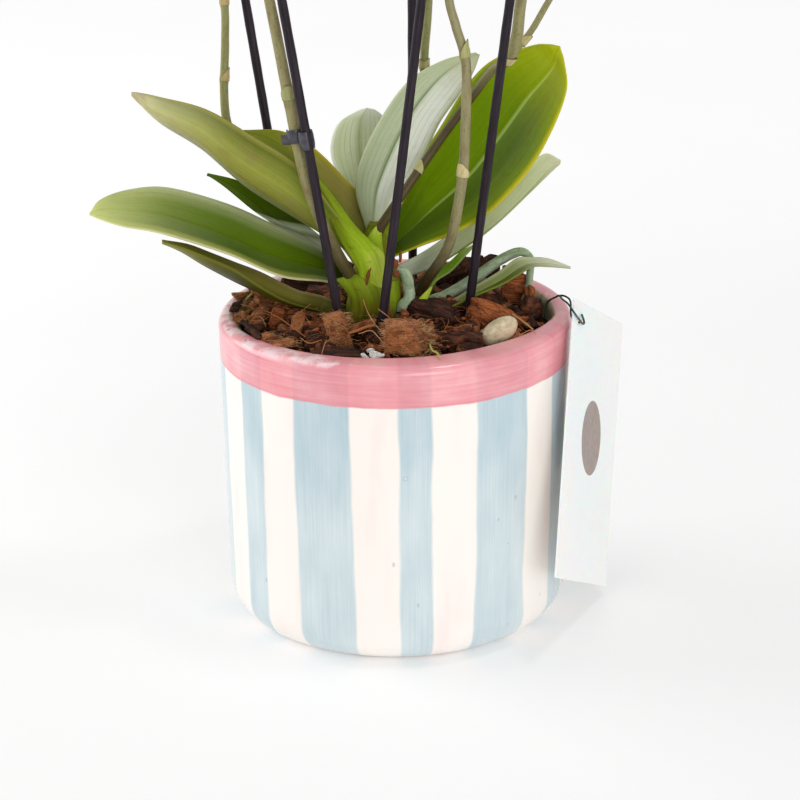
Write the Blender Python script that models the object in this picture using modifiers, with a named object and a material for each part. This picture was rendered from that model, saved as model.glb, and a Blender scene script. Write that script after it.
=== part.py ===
"""Potted moth orchid: a hand-striped pot of bark, a leafy crown, five staked flower stems and a hang tag.

Lengths are in millimetres and are scaled to metres where a mesh is made. The origin is the centre of
the pot's flat base, +Z is up, -Y is the front and +X is the right-hand side, where the tag hangs.
"""

import math
import random

import bmesh
import bpy
from mathutils import Matrix, Vector

MM = 0.001
GAP = 0.3

POT_HEIGHT = 134.0
POT_RADIUS = 75.0
POT_FOOT_RADIUS = 73.0
POT_CORNER = 16.0
POT_LIP = 4.0
POT_INNER_RADIUS = 66.5
POT_INNER_FOOT_RADIUS = 64.5
POT_INNER_CORNER = 8.0
POT_FLOOR = 7.0
POT_STEPS = 36

BARK_EDGE = 127.0
BARK_CROWN = 137.0
BARK_CHIPS = 22
BARK_SEED = 7
BARK_STEPS = 24
BARK_WALL_GAP = 0.5

LEAF_THICKNESS = 1.8
LEAF_ACROSS = 4
LEAF_ALONG = 8
LEAF_SLOT_GAP = 0.5

STAKE_RADIUS = 1.95
STAKE_SIDES = 10
STAKE_FOOT = 95.0

STEM_BRACT = 9.0
CLIP_HEIGHT = 6.0
CLIP_WALL = 1.3

BLOOM_CORE = 3.2
BLOOM_CORE_TURN = 19.0
BLOOM_PETAL_THICKNESS = 0.9
PETAL_OUTLINE = (0.14, 0.92, 0.96, 0.3)
SEPAL_OUTLINE = (0.1, 1.0, 0.28)
BLOOM_REACH = 13.0
BLOOM_SPREAD = 17.0

TAG_WIDTH = 85.0
TAG_HEIGHT = 116.5
TAG_THICKNESS = 0.8
TAG_HOLE_RADIUS = 2.0
WIRE_RADIUS = 0.6

SHARP_ANGLE = 40.0
FLAT_PIECES = ("tag_card", "potting_bark", *(f"clip_{i}" for i in range(1, 6)))

# Sections of the crown: height, centre x, centre y, half width along x and along y.
CROWN_SECTIONS = [
    (116.0, -10.0, -5.0, 5.0, 5.0),
    (121.0, -10.0, -5.0, 10.0, 9.0),
    (130.0, -11.0, -5.0, 12.0, 10.0),
    (140.0, -12.0, -5.0, 14.0, 11.0),
    (149.0, -12.0, -4.0, 14.0, 11.0),
    (158.0, -9.0, -1.0, 12.0, 10.0),
    (166.0, -8.0, 2.0, 9.0, 8.0),
    (172.0, -7.0, 4.0, 4.0, 4.0),
]

# Each leaf: which way its upper face looks, how deep its channel is at the base and at the tip as a
# share of the half width, and pairs of points on its two edges from the base to the tip.
LEAVES = {
    "leaf_left_low": (-1, 0.2, 0.05, [
        ((-21, -7, 146), (-22, 2, 153)),
        ((-29, -13, 151), (-32, 8, 159)),
        ((-47, -24, 157), (-54, 22, 167)),
        ((-68, -28, 168), (-73, 28, 174)),
        ((-95, -24, 176), (-97, 28, 181)),
        ((-112, -16, 177), (-113, 22, 182)),
        ((-123, -5, 177), (-124, 11, 181)),
        ((-128, 2, 177), (-128, 4, 177)),
    ]),
    "leaf_left_cut": (-1, 1.0, 0.25, [
        ((-20, -10, 134), (-20, -2, 137)),
        ((-27, -12, 136.5), (-26, -3, 139.5)),
        ((-34, -14, 139.5), (-31, -4, 142)),
        ((-41, -20, 143.5), (-40, -9, 146)),
        ((-47, -27, 148.5), (-47.5, -13, 151)),
        ((-55, -34, 156), (-56, -17, 157)),
        ((-65, -38, 164.5), (-66, -18, 161.5)),
        ((-77, -37, 170), (-76.5, -18, 166)),
        ((-87, -33, 173), (-85.5, -19, 170)),
        ((-95, -27, 173.5), (-96, -22, 173)),
    ]),
    "leaf_left_high": (-1, 0.4, 0.15, [
        ((-14, -6, 166), (-15, 4, 157)),
        ((-24, -14, 181), (-27, 8, 165)),
        ((-38, -16, 201), (-36, 14, 168)),
        ((-58, -12, 214), (-61, 22, 182)),
        ((-77, -6, 224), (-80, 22, 199)),
        ((-97, 4, 227), (-97, 20, 211)),
        ((-105, 11, 227), (-106, 16, 221)),
        ((-109, 13, 227), (-109, 14, 225)),
    ]),
    "leaf_left_broad": (-1, 0.6, 0.2, [
        ((-12, -4, 160), (-4, 6, 162)),
        ((-18, 0, 165), (-8, 10, 166)),
        ((-27, 3, 175), (-9, 15, 174)),
        ((-34, 5, 186), (-20, 19, 186)),
        ((-45, 8, 197), (-33, 22, 199)),
        ((-57, 12, 205), (-47, 22, 207)),
        ((-63, 15, 208), (-63, 17, 209)),
    ]),
    "leaf_left_narrow": (-1, 0.4, 0.3, [
        ((-18, 1, 151), (-17, 7, 152)),
        ((-25, 5, 155), (-25, 12, 156)),
        ((-32, 12, 158), (-32, 24, 160)),
        ((-43, 20, 161), (-41, 31, 165)),
        ((-52, 26, 165), (-53, 36, 171)),
        ((-61, 31, 170), (-59, 39, 176)),
        ((-73, 33, 180), (-68, 39, 181)),
        ((-80, 34, 185), (-80, 36, 185)),
    ]),
    "leaf_back_left": (1, 0.35, 0.1, [
        ((-12, 8, 156), (-6, 9, 156)),
        ((-14, 16, 163), (-6, 18, 163)),
        ((-18, 28, 174), (-7, 32, 172)),
        ((-24, 34, 184), (-5, 42, 184)),
        ((-27, 42, 193), (-3, 50, 195)),
        ((-24, 50, 202), (-4, 56, 203)),
        ((-16, 56, 206), (-7, 58, 206)),
        ((-12, 60, 206), (-10, 60, 206)),
    ]),
    "leaf_back_mid": (1, 0.4, 0.15, [
        ((-11, 5, 166), (-6, 4, 166)),
        ((-16, 13, 183), (4, 10, 183)),
        ((-13, 17, 197), (13, 12, 198)),
        ((-4, 20, 214), (20, 14, 212)),
        ((7, 22, 228), (28, 16, 223)),
        ((21, 24, 236), (34, 18, 232)),
        ((35, 22, 240), (37, 22, 239)),
    ]),
    "leaf_right_broad": (1, 0.3, 0.12, [
        ((-3, -5, 158), (-4, 7, 163)),
        ((12, -5, 164), (6, 18, 181)),
        ((25, -5, 169), (11, 27, 192)),
        ((40, -5, 178), (20, 31, 205)),
        ((55, -5, 194), (31, 33, 222)),
        ((65, -5, 211), (42, 31, 234)),
        ((72, 0, 228), (58, 24, 242)),
        ((71, 7, 241), (66, 12, 245)),
    ]),
    "leaf_right_under": (1, 0.35, 0.15, [
        ((-2, 3, 151), (-1, 9, 144)),
        ((13, 6, 158), (15, 20, 146)),
        ((28, 9, 168), (32, 28, 154)),
        ((43, 9, 180), (43, 30, 162)),
        ((55, 9, 192), (59, 30, 177)),
        ((64, 13, 198), (67, 26, 186)),
        ((71, 18, 194), (71, 19, 192)),
    ]),
    "leaf_right_sliver": (1, 0.4, 0.3, [
        ((12, 15, 124), (12, 22, 126)),
        ((16, 19, 138), (16, 26, 141)),
        ((24, 24, 143), (24, 32, 145)),
        ((29, 28, 147), (29, 34, 149)),
        ((35, 31, 153), (35, 32, 153)),
    ]),
    "leaf_right_small": (1, 0.7, 0.3, [
        ((12, -7, 124), (12, 1, 124)),
        ((20, -5, 134), (20, 2, 134)),
        ((32, 0, 138), (32, 8, 138)),
        ((45, 1, 143), (45, 10, 144)),
        ((54, 2, 149), (55, 11, 149)),
        ((60, 3, 152), (61, 11, 153)),
        ((66, 4, 152), (66, 10, 153)),
        ((75, 6, 150), (75, 7, 149)),
    ]),
}
BEDDED_LEAVES = ("leaf_left_cut", "leaf_right_sliver", "leaf_right_small")

# Straight stakes: a point low down, a point high up and the height of the top end.
STAKES = {
    "stake_left_front": ((-24, -26, 143), (-44, -26, 274), 365),
    "stake_left_back": ((-44, 36, 134), (-62, 45, 258), 360),
    "stake_middle_front": ((-6, -28, 134), (12, -24, 273), 385),
    "stake_middle_back": ((8, 42, 134), (9, 46, 258), 375),
    "stake_right_front": ((32, -6, 141), (48, -20, 271), 350),
}

# Each flower stem: radius at the foot and at the tip, its route, the share of its length at which each
# joint stands, and the share at which each bloom grows, with the heading that the blooms face.
STEMS = {
    "flower_stem_1": (2.0, 1.1, [
        (-12, 6, 148), (-24, 22, 160), (-42, 32, 174), (-57, 35, 183), (-66, 38, 195), (-71, 40, 206),
        (-72, 41, 220), (-71, 43, 241), (-71, 44, 260), (-75, 46, 300), (-82, 48, 345), (-92, 52, 385),
        (-108, 55, 418), (-132, 56, 442), (-160, 55, 452),
    ], (0.36, 0.5, 0.64), (0.74, 0.83, 0.92), 100),
    "flower_stem_2": (2.7, 1.2, [
        (-12, -8, 144), (-17, -12, 151), (-23, -17, 163), (-31, -20, 182), (-37, -21, 202),
        (-43, -20, 237), (-49, -19, 272), (-57, -18, 312), (-65, -17, 355), (-76, -17, 395),
        (-92, -17, 430), (-118, -17, 455), (-150, -17, 468), (-176, -17, 470),
    ], (0.22, 0.38, 0.52), (0.7, 0.8, 0.9), -100),
    "flower_stem_3": (2.2, 1.1, [
        (-3, 5, 154), (4, 20, 168), (11, 36, 190), (14, 46, 212), (14, 50, 232), (16, 52, 256),
        (17, 53, 300), (18, 54, 350), (22, 56, 395), (34, 58, 430), (56, 60, 455), (86, 60, 468),
    ], (0.33, 0.48, 0.62), (0.82, 0.93), 85),
    "flower_stem_4": (2.4, 1.2, [
        (8, 0, 120), (10, -1, 140), (13, -3, 147), (20, -8, 159), (24, -13, 170), (27, -18, 187),
        (29, -20, 203), (30, -20, 225), (30, -20, 246), (26, -20, 261), (23, -19, 275),
        (23, -18, 305), (27, -19, 345), (33, -22, 385), (42, -25, 425), (57, -27, 460),
        (82, -28, 482),
    ], (0.13, 0.36, 0.6), (0.8, 0.88, 0.95), -85),
    "flower_stem_5": (2.3, 1.2, [
        (-8, -6, 166), (-5, -8, 174), (6, -6, 190), (13, -2, 199), (23, 3, 212), (33, 5, 225),
        (41, 0, 237), (48, -6, 244), (51, -11, 254), (53, -14, 272), (60, -16, 305), (68, -15, 345),
        (80, -13, 380), (100, -10, 405), (128, -8, 420), (156, -6, 424),
    ], (0.13, 0.25, 0.47), (0.8, 0.91), -70),
}
SOIL_STEMS = ("flower_stem_4",)

# The side branch of the last stem, its blooms' shares and their heading.
BRANCH = (0.9, [(46, -5, 242), (51, 0, 246), (58, 6, 253), (66, 12, 265), (82, 15, 290),
                (104, 20, 312), (130, 23, 322), (158, 24, 322)], (0.68, 0.84), -60)

# Clips: stem, stake and height.
CLIPS = [
    ("clip_1", "flower_stem_1", "stake_left_back", 330),
    ("clip_2", "flower_stem_2", "stake_left_front", 216),
    ("clip_3", "flower_stem_3", "stake_middle_back", 340),
    ("clip_4", "flower_stem_4", "stake_middle_front", 325),
    ("clip_5", "flower_stem_5", "stake_right_front", 300),
]

# Aerial roots: radius and route; both ends of the large one stand in the bark.
ROOTS = {
    "aerial_root_large": (1.9, [
        (14, 7, 122), (16, 7, 136), (23, 10, 140), (31, 13, 143), (37, 15, 147), (43, 16, 152),
        (48, 17, 156), (53, 17, 157), (57, 18, 154), (59, 18, 150), (58, 18, 140), (57, 18, 121),
    ]),
    "aerial_root_small": (1.7, [
        (-6, -7, 148), (0, -9, 149), (4, -12, 151), (7, -13, 150), (8, -13, 145), (4, -13, 138),
        (2, -13, 124),
    ]),
}

# Pieces that lie on the bark: size, centre, turn and tilt in degrees, material.
CHUNKS = {
    "husk_block": ((18, 13, 16), (6, -46, 134), 4, 4, "husk"),
    "husk_chip": ((8, 8, 18), (-24, -34, 138), 14, -10, "husk"),
    "bark_dark": ((20, 10, 9), (17, -17, 137), -14, 8, "bark_dark"),
    "bark_orange": ((22, 14, 11), (43, -14, 136), -32, 10, "bark_orange"),
    "bark_red": ((18, 12, 9), (26, -39, 132), -12, 6, "bark_red"),
    "pebble": ((13, 8, 7), (45, -34, 131), 42, 14, "pebble"),
}

# Larger chips that belong to the bark itself: size, centre, turn and tilt.
BARK_LUMPS = [
    ((10, 8, 15), (50, 20, 137), 20, 12),
    ((13, 10, 9), (58, 6, 131), 70, 10),
    ((22, 8, 8), (-17, -53, 131), 6, 4),
    ((14, 16, 9), (-51, 12, 132), 30, -12),
    ((15, 10, 9), (-57, -10, 130), 75, 12),
    ((6, 5, 15), (-41, -19, 133), 20, 14),
    ((13, 7, 15), (25, 38, 138), 10, -20),
    ((16, 9, 8), (-38, -38, 131), 48, -14),
]


def clear_scene():
    for obj in list(bpy.data.objects):
        bpy.data.objects.remove(obj)


def new_collection(name, hidden=False):
    collection = bpy.data.collections.new(name)
    collection.hide_render = hidden
    bpy.context.scene.collection.children.link(collection)
    return collection


def new_material(name, colour, roughness):
    material = bpy.data.materials.new(name)
    material.use_nodes = True
    shader = material.node_tree.nodes["Principled BSDF"]
    shader.inputs["Base Color"].default_value = (*colour, 1.0)
    shader.inputs["Roughness"].default_value = roughness
    shader.inputs["Metallic"].default_value = 0.0
    return material


def vec(point):
    return Vector(point) * MM


def new_object(name, mesh, material, collection):
    obj = bpy.data.objects.new(name, mesh)
    collection.objects.link(obj)
    if material is not None:
        mesh.materials.clear()
        mesh.materials.append(material)
    return obj


def as_cutter(obj):
    obj.hide_render = True
    obj.display_type = "WIRE"
    return obj


def object_from_bmesh(name, bm, material, collection):
    mesh = bpy.data.meshes.new(name)
    bmesh.ops.recalc_face_normals(bm, faces=bm.faces)
    bm.to_mesh(mesh)
    bm.free()
    return new_object(name, mesh, material, collection)


def add_boolean(obj, operation, other=None, collection=None):
    modifier = obj.modifiers.new(operation.title(), "BOOLEAN")
    modifier.operation = operation
    modifier.solver = "EXACT"
    if collection is None:
        modifier.object = other
    else:
        modifier.operand_type = "COLLECTION"
        modifier.collection = collection
    return modifier


def apply_modifiers(obj):
    """Replaces the object's mesh with the evaluated one and clears its modifiers."""
    graph = bpy.context.evaluated_depsgraph_get()
    mesh = bpy.data.meshes.new_from_object(obj.evaluated_get(graph))
    obj.modifiers.clear()
    obj.data = mesh


def keep_largest_piece(obj):
    """Drops loose scraps that a cut leaves, keeping the piece with the most points."""
    bm = bmesh.new()
    bm.from_mesh(obj.data)
    bmesh.ops.remove_doubles(bm, verts=bm.verts, dist=0.00001)
    left = set(bm.verts)
    pieces = []
    while left:
        piece = {left.pop()}
        edge_of_piece = list(piece)
        while edge_of_piece:
            vert = edge_of_piece.pop()
            for edge in vert.link_edges:
                other = edge.other_vert(vert)
                if other in left:
                    left.discard(other)
                    piece.add(other)
                    edge_of_piece.append(other)
        pieces.append(piece)
    pieces.sort(key=len)
    for piece in pieces[:-1]:
        bmesh.ops.delete(bm, geom=list(piece), context="VERTS")
    bm.to_mesh(obj.data)
    bm.free()


def union_all(name, pieces, material, collection):
    """Joins closed pieces into one body with a single Boolean and removes them."""
    body = pieces[0]
    group = new_collection(name + "_pieces")
    for piece in pieces[1:]:
        for home in list(piece.users_collection):
            home.objects.unlink(piece)
        group.objects.link(piece)
    if pieces[1:]:
        add_boolean(body, "UNION", collection=group)
    apply_modifiers(body)
    for piece in list(group.objects):
        bpy.data.objects.remove(piece)
    bpy.data.collections.remove(group)
    body.name = name
    body.data.materials.clear()
    body.data.materials.append(material)
    for home in list(body.users_collection):
        home.objects.unlink(body)
    collection.objects.link(body)
    return body


def spline_point(points, share):
    """Point of a smooth curve through the given points, with share running from 0 to 1."""
    last = len(points) - 1
    place = min(max(share, 0.0), 1.0) * last
    index = min(int(place), last - 1)
    t = place - index
    p1, p2 = Vector(points[index]), Vector(points[index + 1])
    p0 = Vector(points[index - 1]) if index else p1 * 2 - p2
    p3 = Vector(points[index + 2]) if index + 2 <= last else p2 * 2 - p1
    a = p1 * 2
    b = p2 - p0
    c = p0 * 2 - p1 * 5 + p2 * 4 - p3
    d = p1 * 3 - p0 - p2 * 3 + p3
    return (a + b * t + c * t * t + d * t * t * t) * 0.5


def spline_tangent(points, share):
    step = 0.005
    ahead = spline_point(points, min(share + step, 1.0))
    behind = spline_point(points, max(share - step, 0.0))
    return (ahead - behind).normalized()


def sampled(points, count):
    return [spline_point(points, i / (count - 1)) for i in range(count)]


def tube(name, points, radii, collection, sides=8):
    """Closed round tube through the points, made from a curve with a bevel and filled caps."""
    data = bpy.data.curves.new(name, "CURVE")
    data.dimensions = "3D"
    data.bevel_depth = MM
    data.bevel_resolution = (sides - 4) // 2
    data.use_fill_caps = True
    spline = data.splines.new("POLY")
    spline.points.add(len(points) - 1)
    for target, point, radius in zip(spline.points, points, radii):
        target.co = (*vec(point), 1.0)
        target.radius = radius
    curve = bpy.data.objects.new(name + "_curve", data)
    collection.objects.link(curve)
    graph = bpy.context.evaluated_depsgraph_get()
    mesh = bpy.data.meshes.new_from_object(curve.evaluated_get(graph))
    bm = bmesh.new()
    bm.from_mesh(mesh)
    bmesh.ops.remove_doubles(bm, verts=bm.verts, dist=0.00001)
    bmesh.ops.recalc_face_normals(bm, faces=bm.faces)
    bm.to_mesh(mesh)
    bm.free()
    mesh.name = name
    obj = bpy.data.objects.new(name, mesh)
    obj.matrix_world = curve.matrix_world
    collection.objects.link(obj)
    bpy.data.objects.remove(curve)
    return obj


def longer(points, extra):
    """The same route, longer by extra at both ends."""
    first = Vector(points[0]) + (Vector(points[0]) - Vector(points[1])).normalized() * extra
    last = Vector(points[-1]) + (Vector(points[-1]) - Vector(points[-2])).normalized() * extra
    return [first, *[Vector(p) for p in points[1:-1]], last]


def turned(name, profile, steps, material, collection):
    """Solid of revolution about Z from a profile that starts and ends on the axis."""
    mesh = bpy.data.meshes.new(name)
    verts = [vec((radius, 0.0, height)) for radius, height in profile]
    mesh.from_pydata(verts, [(i, i + 1) for i in range(len(verts) - 1)], [])
    obj = new_object(name, mesh, material, collection)
    screw = obj.modifiers.new("Turn", "SCREW")
    screw.steps = steps
    screw.render_steps = steps
    screw.use_merge_vertices = True
    screw.merge_threshold = 0.00001
    screw.use_normal_calculate = False
    return obj


def arc(centre, radius, start, end, count):
    """Points of an arc in the radius-height plane, angles in degrees."""
    points = []
    for i in range(count):
        angle = math.radians(start + (end - start) * i / (count - 1))
        points.append((centre[0] + radius * math.cos(angle), centre[1] + radius * math.sin(angle)))
    return points


def inner_wall(offset):
    """Inside of the pot from the floor's centre up to the lip, moved inwards by offset."""
    foot = POT_INNER_FOOT_RADIUS - offset
    floor = POT_FLOOR + offset
    corner = POT_INNER_CORNER
    return [(0.0, floor)] + arc((foot - corner, floor + corner), corner, -90, 0, 4)


def make_pot(material, collection):
    top = POT_HEIGHT - POT_LIP
    inside = inner_wall(0.0)
    lip_in = arc((POT_INNER_RADIUS + POT_LIP, top), POT_LIP, 180, 90, 4)
    lip_out = arc((POT_RADIUS - POT_LIP, top), POT_LIP, 90, 0, 4)
    corner = arc((POT_FOOT_RADIUS - POT_CORNER, POT_CORNER), POT_CORNER, 0, -90, 6)
    turned("pot", inside + lip_in + lip_out + corner + [(0.0, 0.0)], POT_STEPS, material, collection)


def bark_height(radius):
    """Height of the heaped bark at a distance from the pot's axis."""
    wall = POT_INNER_RADIUS
    return BARK_EDGE + (BARK_CROWN - BARK_EDGE) * (1.0 - (radius / wall) ** 2.5)


def rough_block(name, size, centre, turn, tilt, seed, collection, cuts=1, jitter=0.13, grow=0.0):
    """Irregular chunk: a cube cut into smaller faces, its corners drawn in and every point moved a little."""
    rng = random.Random(seed)
    bm = bmesh.new()
    bmesh.ops.create_cube(bm, size=1.0)
    if cuts:
        bmesh.ops.subdivide_edges(bm, edges=bm.edges, cuts=cuts, use_grid_fill=True)
    for vert in bm.verts:
        reach = vert.co.length
        vert.co *= 1.0 - 0.22 * max(0.0, reach - 0.6)
        vert.co += Vector([rng.uniform(-jitter, jitter) for _ in range(3)]) * 0.5
    scale = Matrix.Diagonal([(side + 2.0 * grow) * MM for side in size]).to_4x4()
    spin = Matrix.Rotation(math.radians(turn), 4, "Z") @ Matrix.Rotation(math.radians(tilt), 4, "Y")
    bm.transform(Matrix.Translation(vec(centre)) @ spin @ scale)
    bmesh.ops.triangulate(bm, faces=bm.faces)
    return object_from_bmesh(name, bm, None, collection)


def make_chunks(materials, parts, cutters):
    for order, (name, (size, centre, turn, tilt, slot)) in enumerate(CHUNKS.items()):
        for grow, home in ((0.0, parts), (GAP + 0.1, cutters)):
            label = name if home is parts else name + "_nest"
            block = rough_block(label, size, centre, turn, tilt, 40 + order, home, grow=grow)
            block.data.materials.append(materials[slot])
            if home is cutters:
                as_cutter(block)


def near_any(x, y, spots):
    return any(math.hypot(x - sx, y - sy) < reach for sx, sy, reach in spots)


def make_bark(material, parts, cutters):
    """Bark and husk that fill the pot: a heaped plug with chips raised from its top."""
    wall = inner_wall(BARK_WALL_GAP)
    edge = [(POT_INNER_RADIUS - BARK_WALL_GAP, BARK_EDGE)]
    heap = [(r, bark_height(r)) for r in (54.0, 36.0)]
    plug = turned("plug", wall + edge + heap + [(0.0, BARK_CROWN)], BARK_STEPS, material, parts)
    apply_modifiers(plug)
    rng = random.Random(BARK_SEED)
    lying = [chunk[:2] for chunk in CHUNKS.values()] + [lump[:2] for lump in BARK_LUMPS]
    taken = [(centre[0], centre[1], 0.35 * max(size) + 5.0) for size, centre in lying]
    pieces = [plug]
    for order, (size, centre, turn, tilt) in enumerate(BARK_LUMPS):
        pieces.append(rough_block("lump", size, centre, turn, tilt, 90 + order, parts, cuts=0, jitter=0.3))
    while len(pieces) <= BARK_CHIPS + len(BARK_LUMPS):
        radius = 59.0 * math.sqrt(rng.random())
        angle = rng.uniform(0.0, 2.0 * math.pi)
        x, y = radius * math.cos(angle), radius * math.sin(angle)
        size = (rng.uniform(11, 19), rng.uniform(7, 12), rng.uniform(6, 9))
        turn, tilt = rng.uniform(0, 180), rng.uniform(-24, 24)
        if near_any(x, y, taken) or radius + 0.5 * size[0] > 64.5:
            continue
        centre = (x, y, bark_height(radius) - 0.5)
        seed = rng.randrange(10000)
        pieces.append(rough_block("chip", size, centre, turn, tilt, seed, parts, cuts=0, jitter=0.3))
    bark = union_all("potting_bark", pieces, material, parts)
    keep_largest_piece(bark)
    add_boolean(bark, "DIFFERENCE", collection=cutters)
    apply_modifiers(bark)
    keep_largest_piece(bark)


def crown_object(name, grow, material, collection):
    """Rounded column of leaf bases, its sections taken from the crown's table."""
    bm = bmesh.new()
    bmesh.ops.create_uvsphere(bm, u_segments=12, v_segments=12, radius=1.0)
    last = len(CROWN_SECTIONS) - 1
    low, high = CROWN_SECTIONS[0][0] - grow, CROWN_SECTIONS[-1][0] + grow
    for vert in bm.verts:
        share = math.acos(max(-1.0, min(1.0, -vert.co.z))) / math.pi
        height = low + (high - low) * share
        place = share * last
        index = min(int(place), last - 1)
        t = place - index
        lower, upper = CROWN_SECTIONS[index], CROWN_SECTIONS[index + 1]
        cx, cy, rx, ry = [lower[k] + (upper[k] - lower[k]) * t for k in (1, 2, 3, 4)]
        ring = math.hypot(vert.co.x, vert.co.y)
        if ring < 1e-4:
            vert.co = vec((cx, cy, height))
            continue
        ux, uy = vert.co.x / ring, vert.co.y / ring
        vert.co = vec((cx + ux * (rx + grow), cy + uy * (ry + grow), height))
    return object_from_bmesh(name, bm, material, collection)


def leaf_point(spec, across, share, grow=0.0):
    """Point of a leaf: across runs from -1 at one edge to 1 at the other, share from base to tip."""
    face, sag_base, sag_tip, stations = spec
    edges = [[pair[side] for pair in stations] for side in (0, 1)]
    one, two = [spline_point(edge, share) for edge in edges]
    step = 0.01
    ahead, behind = min(share + step, 1.0), max(share - step, 0.0)
    tangent = Vector((0.0, 0.0, 0.0))
    for edge in edges:
        tangent += spline_point(edge, ahead) - spline_point(edge, behind)
    half = (two - one) * 0.5
    normal = tangent.cross(half).normalized() * face
    sag = (sag_base + (sag_tip - sag_base) * share) * half.length
    point = (one + two) * 0.5 + half * across - normal * sag * (1.0 - abs(across) ** 1.6)
    point += half.normalized() * across * grow
    if share < step:
        point -= tangent.normalized() * grow
    return point


def leaf_object(name, spec, grow, material, collection):
    """Blade of even thickness over the leaf's own surface, made larger all round by grow."""
    bm = bmesh.new()
    bmesh.ops.create_grid(bm, x_segments=LEAF_ACROSS, y_segments=LEAF_ALONG, size=1.0)
    for vert in bm.verts:
        vert.co = vec(leaf_point(spec, vert.co.x, (vert.co.y + 1.0) * 0.5, grow))
    bmesh.ops.triangulate(bm, faces=bm.faces)
    leaf = object_from_bmesh(name, bm, material, collection)
    skin = leaf.modifiers.new("Thickness", "SOLIDIFY")
    skin.thickness = (LEAF_THICKNESS + 2.0 * grow) * MM
    skin.offset = 0.0
    return leaf


def make_leaves(material, crown_space, parts, cutters):
    for name, spec in LEAVES.items():
        leaf = leaf_object(name, spec, 0.0, material, parts)
        add_boolean(leaf, "DIFFERENCE", crown_space)
        if name in BEDDED_LEAVES:
            as_cutter(leaf_object(name + "_slot", spec, LEAF_SLOT_GAP, None, cutters))


def stake_ends(name):
    low, high, top = STAKES[name]
    slope = (Vector(high) - Vector(low)) / (high[2] - low[2])
    foot = Vector(low) + slope * (STAKE_FOOT - low[2])
    return foot, Vector(low) + slope * (top - low[2])


def make_stakes(material, parts, cutters):
    for name in STAKES:
        foot, top = stake_ends(name)
        point = top + (top - foot).normalized() * 4.0
        radii = [STAKE_RADIUS, STAKE_RADIUS, 0.5]
        stake = tube(name, [foot, top, point], radii, parts, STAKE_SIDES)
        stake.data.materials.append(material)
        route = longer([foot, top], GAP)
        as_cutter(tube(name + "_hole", route, [STAKE_RADIUS + GAP] * 2, cutters, STAKE_SIDES))


def petal_shape(length, width, lift, curl, droop, outline, columns):
    """Closed petal in the XZ plane that grows along +Z and faces -Y."""
    rows = len(outline) - 1
    bm = bmesh.new()
    bmesh.ops.create_grid(bm, x_segments=columns, y_segments=rows, size=1.0)
    for vert in bm.verts:
        across, share = vert.co.x, (vert.co.y + 1.0) * 0.5
        half = 0.5 * width * outline[round(share * rows)]
        forward = -lift * math.sin(math.pi * share) + curl * abs(across) ** 2 + droop * share ** 2
        vert.co = vec((across * half, forward, length * share))
    bmesh.ops.triangulate(bm, faces=bm.faces)
    thickness = BLOOM_PETAL_THICKNESS * MM
    bmesh.ops.recalc_face_normals(bm, faces=bm.faces)
    bmesh.ops.solidify(bm, geom=bm.faces, thickness=thickness)
    return bm


def make_bloom_mesh(material, parts):
    """One bloom facing -Y: three sepals, two broad petals, a lip and the core that joins them."""
    blades = [
        ("sepal_top", 25.0, 17.0, 2.0, 0.0, 2.0, 0.0),
        ("sepal_right", 24.0, 16.0, 2.0, 0.0, 2.0, 128.0),
        ("sepal_left", 24.0, 16.0, 2.0, 0.0, 2.0, -128.0),
        ("petal_right", 26.0, 28.0, 3.0, -1.5, 0.5, 66.0),
        ("petal_left", 26.0, 28.0, 3.0, -1.5, 0.5, -66.0),
    ]
    pieces = []
    bm = bmesh.new()
    bmesh.ops.create_cone(bm, cap_ends=True, segments=4, radius1=BLOOM_CORE * MM,
                          radius2=BLOOM_CORE * MM, depth=2.0 * BLOOM_CORE * MM)
    bm.transform(Matrix.Rotation(math.radians(BLOOM_CORE_TURN), 4, "Y") @ Matrix.Rotation(math.radians(90), 4, "X"))
    pieces.append(object_from_bmesh("core", bm, None, parts))
    for name, length, width, lift, curl, droop, turn in blades:
        sepal = name.startswith("sepal")
        outline, columns = (SEPAL_OUTLINE, 1) if sepal else (PETAL_OUTLINE, 2)
        bm = petal_shape(length, width, lift, curl, droop, outline, columns)
        layer = 1.4 if sepal else -1.4
        bm.transform(Matrix.Translation(vec((0, layer, 0))) @ Matrix.Rotation(math.radians(turn), 4, "Y"))
        pieces.append(object_from_bmesh(name, bm, None, parts))
    bm = petal_shape(13.0, 11.0, -3.0, 0.0, -6.0, SEPAL_OUTLINE, 1)
    bm.transform(Matrix.Translation(vec((0, -2.5, 0))) @ Matrix.Rotation(math.radians(180), 4, "Y"))
    pieces.append(object_from_bmesh("lip", bm, None, parts))
    bloom = union_all("bloom", pieces, material, parts)
    mesh = bloom.data
    bpy.data.objects.remove(bloom)
    return mesh


def bloom_places(route, shares, heading):
    """For each bloom: where it leaves the stem, its centre and the way it faces."""
    facing = Vector((math.cos(math.radians(heading)), math.sin(math.radians(heading)), -0.12)).normalized()
    places = []
    for order, share in enumerate(shares):
        start = spline_point(route, share)
        side = spline_tangent(route, share).cross(facing).normalized()
        if order % 2:
            side = -side
        centre = start + side * BLOOM_SPREAD + facing * (BLOOM_REACH + 2.5 * (order % 2))
        places.append((start, centre, facing))
    return places


def add_bloom(name, mesh, centre, facing, parts):
    bloom = bpy.data.objects.new(name, mesh)
    parts.objects.link(bloom)
    back = -facing
    up = (Vector((0, 0, 1)) - back * back.z).normalized()
    right = back.cross(up)
    turn = Matrix((right, back, up)).transposed().to_4x4()
    bloom.matrix_world = Matrix.Translation(vec(centre)) @ turn


def pedicel(start, centre, facing, parts):
    """Curved flower stalk that ends just behind the bloom's core."""
    end = centre - facing * (BLOOM_CORE + 1.5 * GAP)
    behind = end - facing * 3.0
    bend = start.lerp(behind, 0.6) - facing * 2.0
    return tube("pedicel", [start, bend, behind, end], [1.0] * 4, parts, 4)


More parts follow.
